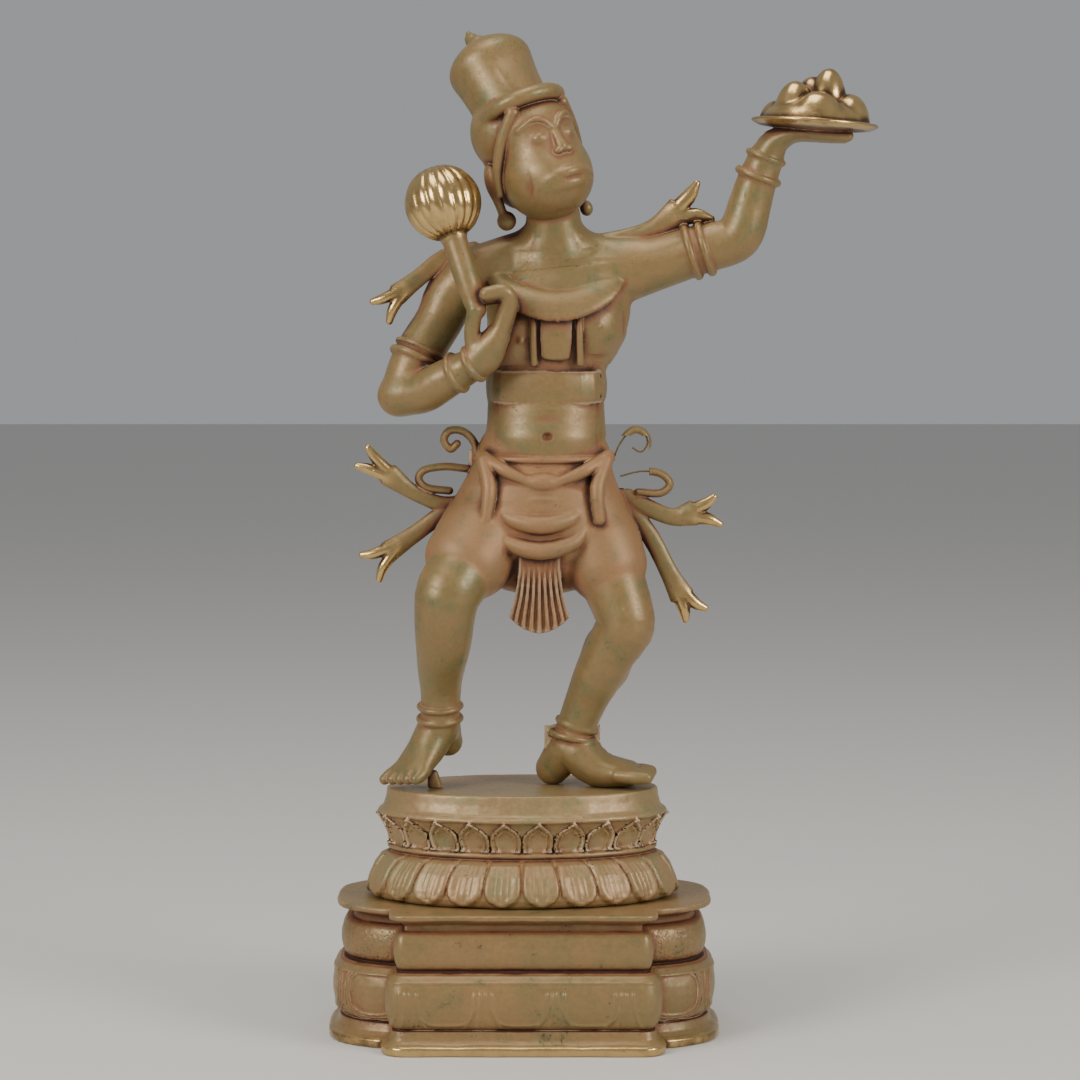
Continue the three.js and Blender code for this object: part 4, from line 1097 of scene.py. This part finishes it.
def mark_surface(piece, form, polish=None, cloth=None):
    """Keeps on each vertex how far it lies in a recess or on an edge, and the maker's masks."""
    mesh = piece.data
    count = len(mesh.vertices)
    places = np.zeros(count * 3, np.float32)
    mesh.vertices.foreach_get("co", places)
    places = places.reshape(-1, 3) / MM
    normals = np.zeros(count * 3, np.float32)
    mesh.vertex_normals.foreach_get("vector", normals)
    normals = normals.reshape(-1, 3)

    def clearance(height):
        return distances(form, places + normals * height, MARK_REACH) / height

    hollow = 1 - sum(clearance(height) for height in RECESS_HEIGHTS) / len(RECESS_HEIGHTS)
    edge = 1 - clearance(-EDGE_DEPTH)
    marks = {
        "recess": np.clip(hollow * MARK_GAIN, 0, 1),
        "rubbed": np.clip(edge * MARK_GAIN, 0, 1),
        "polish": np.clip(polish(places.T), 0, 1) if polish else np.zeros(count),
        "cloth": np.clip(cloth(places.T), 0, 1) if cloth else np.zeros(count),
    }
    for name, values in marks.items():
        layer = mesh.attributes.new(name, "FLOAT", "POINT")
        layer.data.foreach_set("value", values.astype(np.float32))


# Materials

class Nodes:
    """Adds nodes to a tree; any input may be a plain value or another node's output."""

    def __init__(self, tree):
        self.tree = tree

    def add(self, kind, inputs=(), **settings):
        node = self.tree.nodes.new(kind)
        for name, value in settings.items():
            setattr(node, name, value)
        for name, value in dict(inputs).items():
            self.feed(node.inputs[name], value)
        return node

    def feed(self, socket, value):
        if isinstance(value, bpy.types.NodeSocket):
            self.tree.links.new(value, socket)
        else:
            socket.default_value = value

    def math(self, operation, a, b=0.0, clamp=False):
        node = self.add("ShaderNodeMath", {0: a, 1: b}, operation=operation, use_clamp=clamp)
        return node.outputs[0]

    def mix(self, share, first, second, blend="MIX"):
        node = self.add("ShaderNodeMix", data_type="RGBA", blend_type=blend)
        self.feed(node.inputs["Factor"], share)
        self.feed(node.inputs[6], first)
        self.feed(node.inputs[7], second)
        return node.outputs[2]

    def blend(self, share, first, second):
        node = self.add("ShaderNodeMix", data_type="FLOAT")
        self.feed(node.inputs[0], share)
        self.feed(node.inputs[2], first)
        self.feed(node.inputs[3], second)
        return node.outputs[0]

    def noise(self, scale, detail=4.0, roughness=0.55, warp=0.0):
        place = self.add("ShaderNodeTexCoord").outputs["Object"]
        node = self.add("ShaderNodeTexNoise", {"Vector": place, "Scale": scale, "Detail": detail,
                                               "Roughness": roughness, "Distortion": warp})
        return node.outputs["Fac"]

    def between(self, value, low, high):
        """0 below low, 1 above high."""
        node = self.add("ShaderNodeMapRange", {"Value": value, "From Min": low, "From Max": high},
                        interpolation_type="SMOOTHSTEP")
        return node.outputs[0]

    def mark(self, name):
        return self.add("ShaderNodeAttribute", attribute_name=name).outputs["Fac"]


def node_group(name, inputs, outputs, build):
    """A shader node group; build(nodes, inputs) gives a value for each output."""
    tree = bpy.data.node_groups.new(name, "ShaderNodeTree")
    kinds = {"colour": "NodeSocketColor", "value": "NodeSocketFloat"}
    for label, kind in inputs.items():
        tree.interface.new_socket(label, in_out="INPUT", socket_type=kinds[kind])
    for label, kind in outputs.items():
        tree.interface.new_socket(label, in_out="OUTPUT", socket_type=kinds[kind])
    nodes = Nodes(tree)
    entry = nodes.add("NodeGroupInput")
    leave = nodes.add("NodeGroupOutput")
    given = {label: entry.outputs[label] for label in inputs}
    for label, value in build(nodes, given).items():
        nodes.feed(leave.inputs[label], value)
    return tree


def mottled_patina(nodes, given):
    """Waxed patina: a body colour that drifts to olive, to green and to a darker brown."""
    broad = nodes.noise(given["Blotches per metre"], 5.0, 0.6, 0.8)
    middling = nodes.noise(nodes.math("MULTIPLY", given["Blotches per metre"], 4.3), 6.0, 0.65, 0.3)
    fine = nodes.noise(nodes.math("MULTIPLY", given["Blotches per metre"], 26.0), 4.0, 0.7)
    drift = nodes.blend(0.35, broad, middling)
    colour = nodes.mix(nodes.between(drift, 0.40, 0.60), given["Body"], given["Olive"])
    green = nodes.math("MULTIPLY", nodes.between(middling, 0.52, 0.68), nodes.between(broad, 0.38, 0.56))
    colour = nodes.mix(nodes.math("MULTIPLY", green, given["Green amount"]), colour, given["Green"])
    brown = nodes.between(nodes.blend(0.55, fine, middling), 0.56, 0.68)
    colour = nodes.mix(nodes.math("MULTIPLY", brown, given["Brown amount"]), colour, given["Brown"])
    shade = nodes.blend(fine, 0.78, 1.22)
    tint = nodes.add("ShaderNodeCombineColor", {"Red": shade, "Green": shade, "Blue": shade}).outputs[0]
    return {"Colour": nodes.mix(1.0, colour, tint, "MULTIPLY"), "Dull": nodes.between(fine, 0.3, 0.75)}


def frayed(nodes, mark, scale, amount):
    """A mark whose border is made ragged by noise."""
    wander = nodes.math("SUBTRACT", nodes.noise(scale, 5.0, 0.7), 0.5)
    return nodes.math("ADD", mark, nodes.math("MULTIPLY", wander, amount))


def recess_grime(nodes, given):
    """Reddish earth left in the hollows."""
    ragged = frayed(nodes, given["Recess"], 260.0, 0.35)
    rim = nodes.math("MULTIPLY", nodes.between(ragged, 0.10, 0.42), given["Amount"])
    core = nodes.math("MULTIPLY", nodes.between(ragged, 0.42, 0.85), given["Amount"])
    colour = nodes.mix(rim, given["Colour"], given["Earth"])
    return {"Colour": nodes.mix(core, colour, given["Deep"]), "Mask": rim}


def rubbed_metal(nodes, given):
    """Bare metal where the patina has been rubbed from proud edges."""
    ragged = frayed(nodes, given["Rubbed"], 420.0, 0.5)
    worn = nodes.math("MULTIPLY", nodes.between(ragged, 0.36, 0.85), given["Amount"])
    return {"Colour": nodes.mix(worn, given["Colour"], given["Metal"]), "Mask": worn}


def cast_skin(nodes, given):
    """Pits and grain of the casting: a height, and a mask of the pits."""
    place = nodes.add("ShaderNodeTexCoord").outputs["Object"]
    cells = nodes.add("ShaderNodeTexVoronoi", {"Vector": place, "Scale": given["Pits per metre"]})
    wanted = nodes.between(nodes.noise(95.0, 4.0, 0.6), 0.56, 0.70)
    middle = nodes.between(nodes.math("MULTIPLY", cells.outputs["Distance"], -1.0), -0.30, -0.12)
    pit = nodes.math("MULTIPLY", middle, nodes.math("MULTIPLY", wanted, given["Pit amount"]))
    grain = nodes.math("MULTIPLY", nodes.noise(1500.0, 3.0, 0.6), given["Grain"])
    swell = nodes.math("MULTIPLY", nodes.noise(240.0, 3.0, 0.5), 0.6)
    height = nodes.math("SUBTRACT", nodes.math("ADD", grain, swell), pit)
    return {"Height": height, "Pits": pit}


def make_groups():
    colour, value = "colour", "value"
    return {
        "patina": node_group(
            "mottled_patina",
            {"Body": colour, "Olive": colour, "Green": colour, "Brown": colour, "Green amount": value,
             "Brown amount": value, "Blotches per metre": value},
            {"Colour": colour, "Dull": value}, mottled_patina),
        "grime": node_group(
            "recess_grime",
            {"Colour": colour, "Earth": colour, "Deep": colour, "Recess": value, "Amount": value},
            {"Colour": colour, "Mask": value}, recess_grime),
        "rubbed": node_group(
            "rubbed_metal",
            {"Colour": colour, "Metal": colour, "Rubbed": value, "Amount": value},
            {"Colour": colour, "Mask": value}, rubbed_metal),
        "skin": node_group(
            "cast_skin",
            {"Pits per metre": value, "Pit amount": value, "Grain": value},
            {"Height": value, "Pits": value}, cast_skin),
    }


def rgb(red, green, blue):
    return (red, green, blue, 1.0)


REDDISH_EARTH = rgb(0.190, 0.075, 0.030)
DEEP_BROWN = rgb(0.050, 0.017, 0.008)
BARE_METAL = rgb(0.62, 0.50, 0.33)
DARK_BRONZE = rgb(0.085, 0.042, 0.020)
GOLDEN_BRONZE = rgb(0.58, 0.40, 0.17)


def bronze(name, groups, patina, cloth=None, grime=0.9, rubbed=0.5, pits=0.5, roughness=(0.32, 0.5)):
    """A patinated bronze whose polished parts show through by the mesh's polish mark."""
    material = bpy.data.materials.new(name)
    material.use_nodes = True
    nodes = Nodes(material.node_tree)
    shader = material.node_tree.nodes["Principled BSDF"]

    def placed(group, inputs):
        node = nodes.add("ShaderNodeGroup", node_tree=groups[group])
        for label, value in inputs.items():
            nodes.feed(node.inputs[label], value)
        return node.outputs

    skin = placed("skin", {"Pits per metre": 420.0, "Pit amount": pits, "Grain": 0.25})
    main = placed("patina", patina)
    colour, dull = main["Colour"], main["Dull"]
    if cloth:
        weave = placed("patina", cloth)
        share = nodes.mark("cloth")
        colour = nodes.mix(share, colour, weave["Colour"])
        dull = nodes.math("ADD", dull, share)
    recess = nodes.mark("recess")
    earth = placed("grime", {"Colour": colour, "Earth": REDDISH_EARTH, "Deep": DEEP_BROWN, "Recess": recess,
                             "Amount": grime})
    colour = nodes.mix(skin["Pits"], earth["Colour"], DEEP_BROWN)
    worn = placed("rubbed", {"Colour": colour, "Metal": BARE_METAL, "Rubbed": nodes.mark("rubbed"),
                             "Amount": rubbed})
    colour = worn["Colour"]

    clouds = nodes.math("MULTIPLY", nodes.noise(150.0, 4.0), 0.5)
    tarnish = nodes.between(nodes.math("ADD", recess, clouds), 0.2, 0.62)
    polished = nodes.mix(tarnish, GOLDEN_BRONZE, DARK_BRONZE)
    polished = nodes.mix(nodes.math("MULTIPLY", worn["Mask"], 0.9), polished, GOLDEN_BRONZE)
    polish = nodes.mark("polish")
    nodes.feed(shader.inputs["Base Color"], nodes.mix(polish, colour, polished))

    plain_rough = nodes.blend(dull, *roughness)
    plain_rough = nodes.math("ADD", plain_rough, nodes.math("MULTIPLY", earth["Mask"], 0.25))
    polished_rough = nodes.blend(tarnish, 0.2, 0.32)
    nodes.feed(shader.inputs["Roughness"], nodes.blend(polish, plain_rough, polished_rough))
    bare = nodes.math("MULTIPLY", worn["Mask"], 0.6)
    metal = nodes.math("MAXIMUM", bare, nodes.blend(polish, 0.25, 0.92))
    metal = nodes.math("SUBTRACT", metal, nodes.math("MULTIPLY", earth["Mask"], 0.2), clamp=True)
    nodes.feed(shader.inputs["Metallic"], metal)
    bump = nodes.add("ShaderNodeBump", {"Height": skin["Height"], "Strength": 0.35, "Distance": 0.0004})
    nodes.feed(shader.inputs["Normal"], bump.outputs["Normal"])
    return material


SKIN_PATINA = {
    "Body": rgb(0.235, 0.150, 0.060), "Olive": rgb(0.190, 0.140, 0.052), "Green": rgb(0.135, 0.145, 0.062),
    "Brown": rgb(0.110, 0.052, 0.018), "Green amount": 0.8,
    "Brown amount": 0.7, "Blotches per metre": 24.0,
}
CLOTH_PATINA = {
    "Body": rgb(0.290, 0.155, 0.068), "Olive": rgb(0.250, 0.150, 0.065), "Green": rgb(0.170, 0.150, 0.075),
    "Brown": rgb(0.150, 0.062, 0.024), "Green amount": 0.35,
    "Brown amount": 0.6, "Blotches per metre": 34.0,
}
PEDESTAL_PATINA = {
    "Body": rgb(0.300, 0.185, 0.085), "Olive": rgb(0.265, 0.190, 0.085), "Green": rgb(0.200, 0.200, 0.090),
    "Brown": rgb(0.160, 0.072, 0.028), "Green amount": 0.7,
    "Brown amount": 0.5, "Blotches per metre": 20.0,
}
PLINTH_PATINA = {
    "Body": rgb(0.260, 0.160, 0.066), "Olive": rgb(0.215, 0.150, 0.060), "Green": rgb(0.160, 0.150, 0.062),
    "Brown": rgb(0.070, 0.032, 0.013), "Green amount": 0.55,
    "Brown amount": 0.85, "Blotches per metre": 22.0,
}


# Floor, light and camera

CAMERA_PLACE = (0.00728, -1.520, 0.3343)
CAMERA_DIP = 4.109  # degrees below level
CAMERA_LENS = 111.36


def floor_and_light():
    bpy.ops.mesh.primitive_plane_add(size=12, location=(0, 1.5, 0))
    floor = bpy.context.object
    floor.name = "floor"
    plain = bpy.data.materials.new("pale_floor")
    plain.use_nodes = True
    shader = plain.node_tree.nodes["Principled BSDF"]
    shader.inputs["Base Color"].default_value = (0.62, 0.61, 0.59, 1)
    shader.inputs["Roughness"].default_value = 0.7
    floor.data.materials.append(plain)
    world = bpy.data.worlds.new("soft_studio")
    world.use_nodes = True
    sky = world.node_tree.nodes["Background"]
    sky.inputs["Color"].default_value = (0.80, 0.81, 0.83, 1)
    sky.inputs["Strength"].default_value = 0.42
    bpy.context.scene.world = world
    for name, place, size, power in (
        ("left_softbox", (-1.25, -1.15, 1.0), 0.75, 24),
        ("right_softbox", (1.35, -1.0, 0.85), 0.7, 20),
        ("top_softbox", (-0.1, -0.2, 1.7), 0.9, 13),
    ):
        light = bpy.data.lights.new(name, "AREA")
        light.size = size
        light.energy = power
        light.color = (1.0, 0.95, 0.88)
        lamp = bpy.data.objects.new(name, light)
        lamp.location = place
        aim = Vector((0.02, 0, 0.24)) - Vector(place)
        lamp.rotation_euler = aim.to_track_quat("-Z", "Y").to_euler()
        bpy.context.scene.collection.objects.link(lamp)


def camera():
    lens = bpy.data.cameras.new("camera")
    lens.lens = CAMERA_LENS
    viewer = bpy.data.objects.new("camera", lens)
    viewer.location = CAMERA_PLACE
    viewer.rotation_euler = (math.radians(90 - CAMERA_DIP), 0, 0)
    bpy.context.scene.collection.objects.link(viewer)
    bpy.context.scene.camera = viewer


def rim_polish(points):
    """The foot rim, worn bright."""
    return 0.85 * step_up(-points[2], -5.5, -3.5)


# Casting: how fine each skin is, in mm, and the most triangles it may keep

PLINTH_CELL, PLINTH_FACES = 0.5, 150000
PEDESTAL_CELL, PEDESTAL_FACES = 0.4, 190000
FIGURE_CELL, FIGURE_FACES = 0.5, 195000

camera()
floor_and_light()
groups = make_groups()

plinth_shape = plinth_form()
plinth = cast("plinth_casting", plinth_shape, PLINTH_CELL, PLINTH_FACES, "moulded_plinth")
mark_surface(plinth, plinth_shape, polish=rim_polish)
plinth.data.materials.append(bronze("plinth_bronze", groups, PLINTH_PATINA, rubbed=0.45, pits=0.9))

pedestal_shape = pedestal_form()
pedestal = cast("pedestal_casting", pedestal_shape, PEDESTAL_CELL, PEDESTAL_FACES, "lotus_pedestal")
mark_surface(pedestal, pedestal_shape)
pedestal.data.materials.append(bronze("pedestal_bronze", groups, PEDESTAL_PATINA, rubbed=0.4, pits=0.6))

figure_shape = figure_form()
figure = cast("figure_casting", figure_shape, FIGURE_CELL, FIGURE_FACES, "hanuman_figure")
mark_surface(figure, figure_shape, polish=figure_polish, cloth=figure_cloth)
figure_bronze = bronze("figure_bronze", groups, SKIN_PATINA, CLOTH_PATINA, rubbed=0.35, pits=0.45)
figure.data.materials.append(figure_bronze)
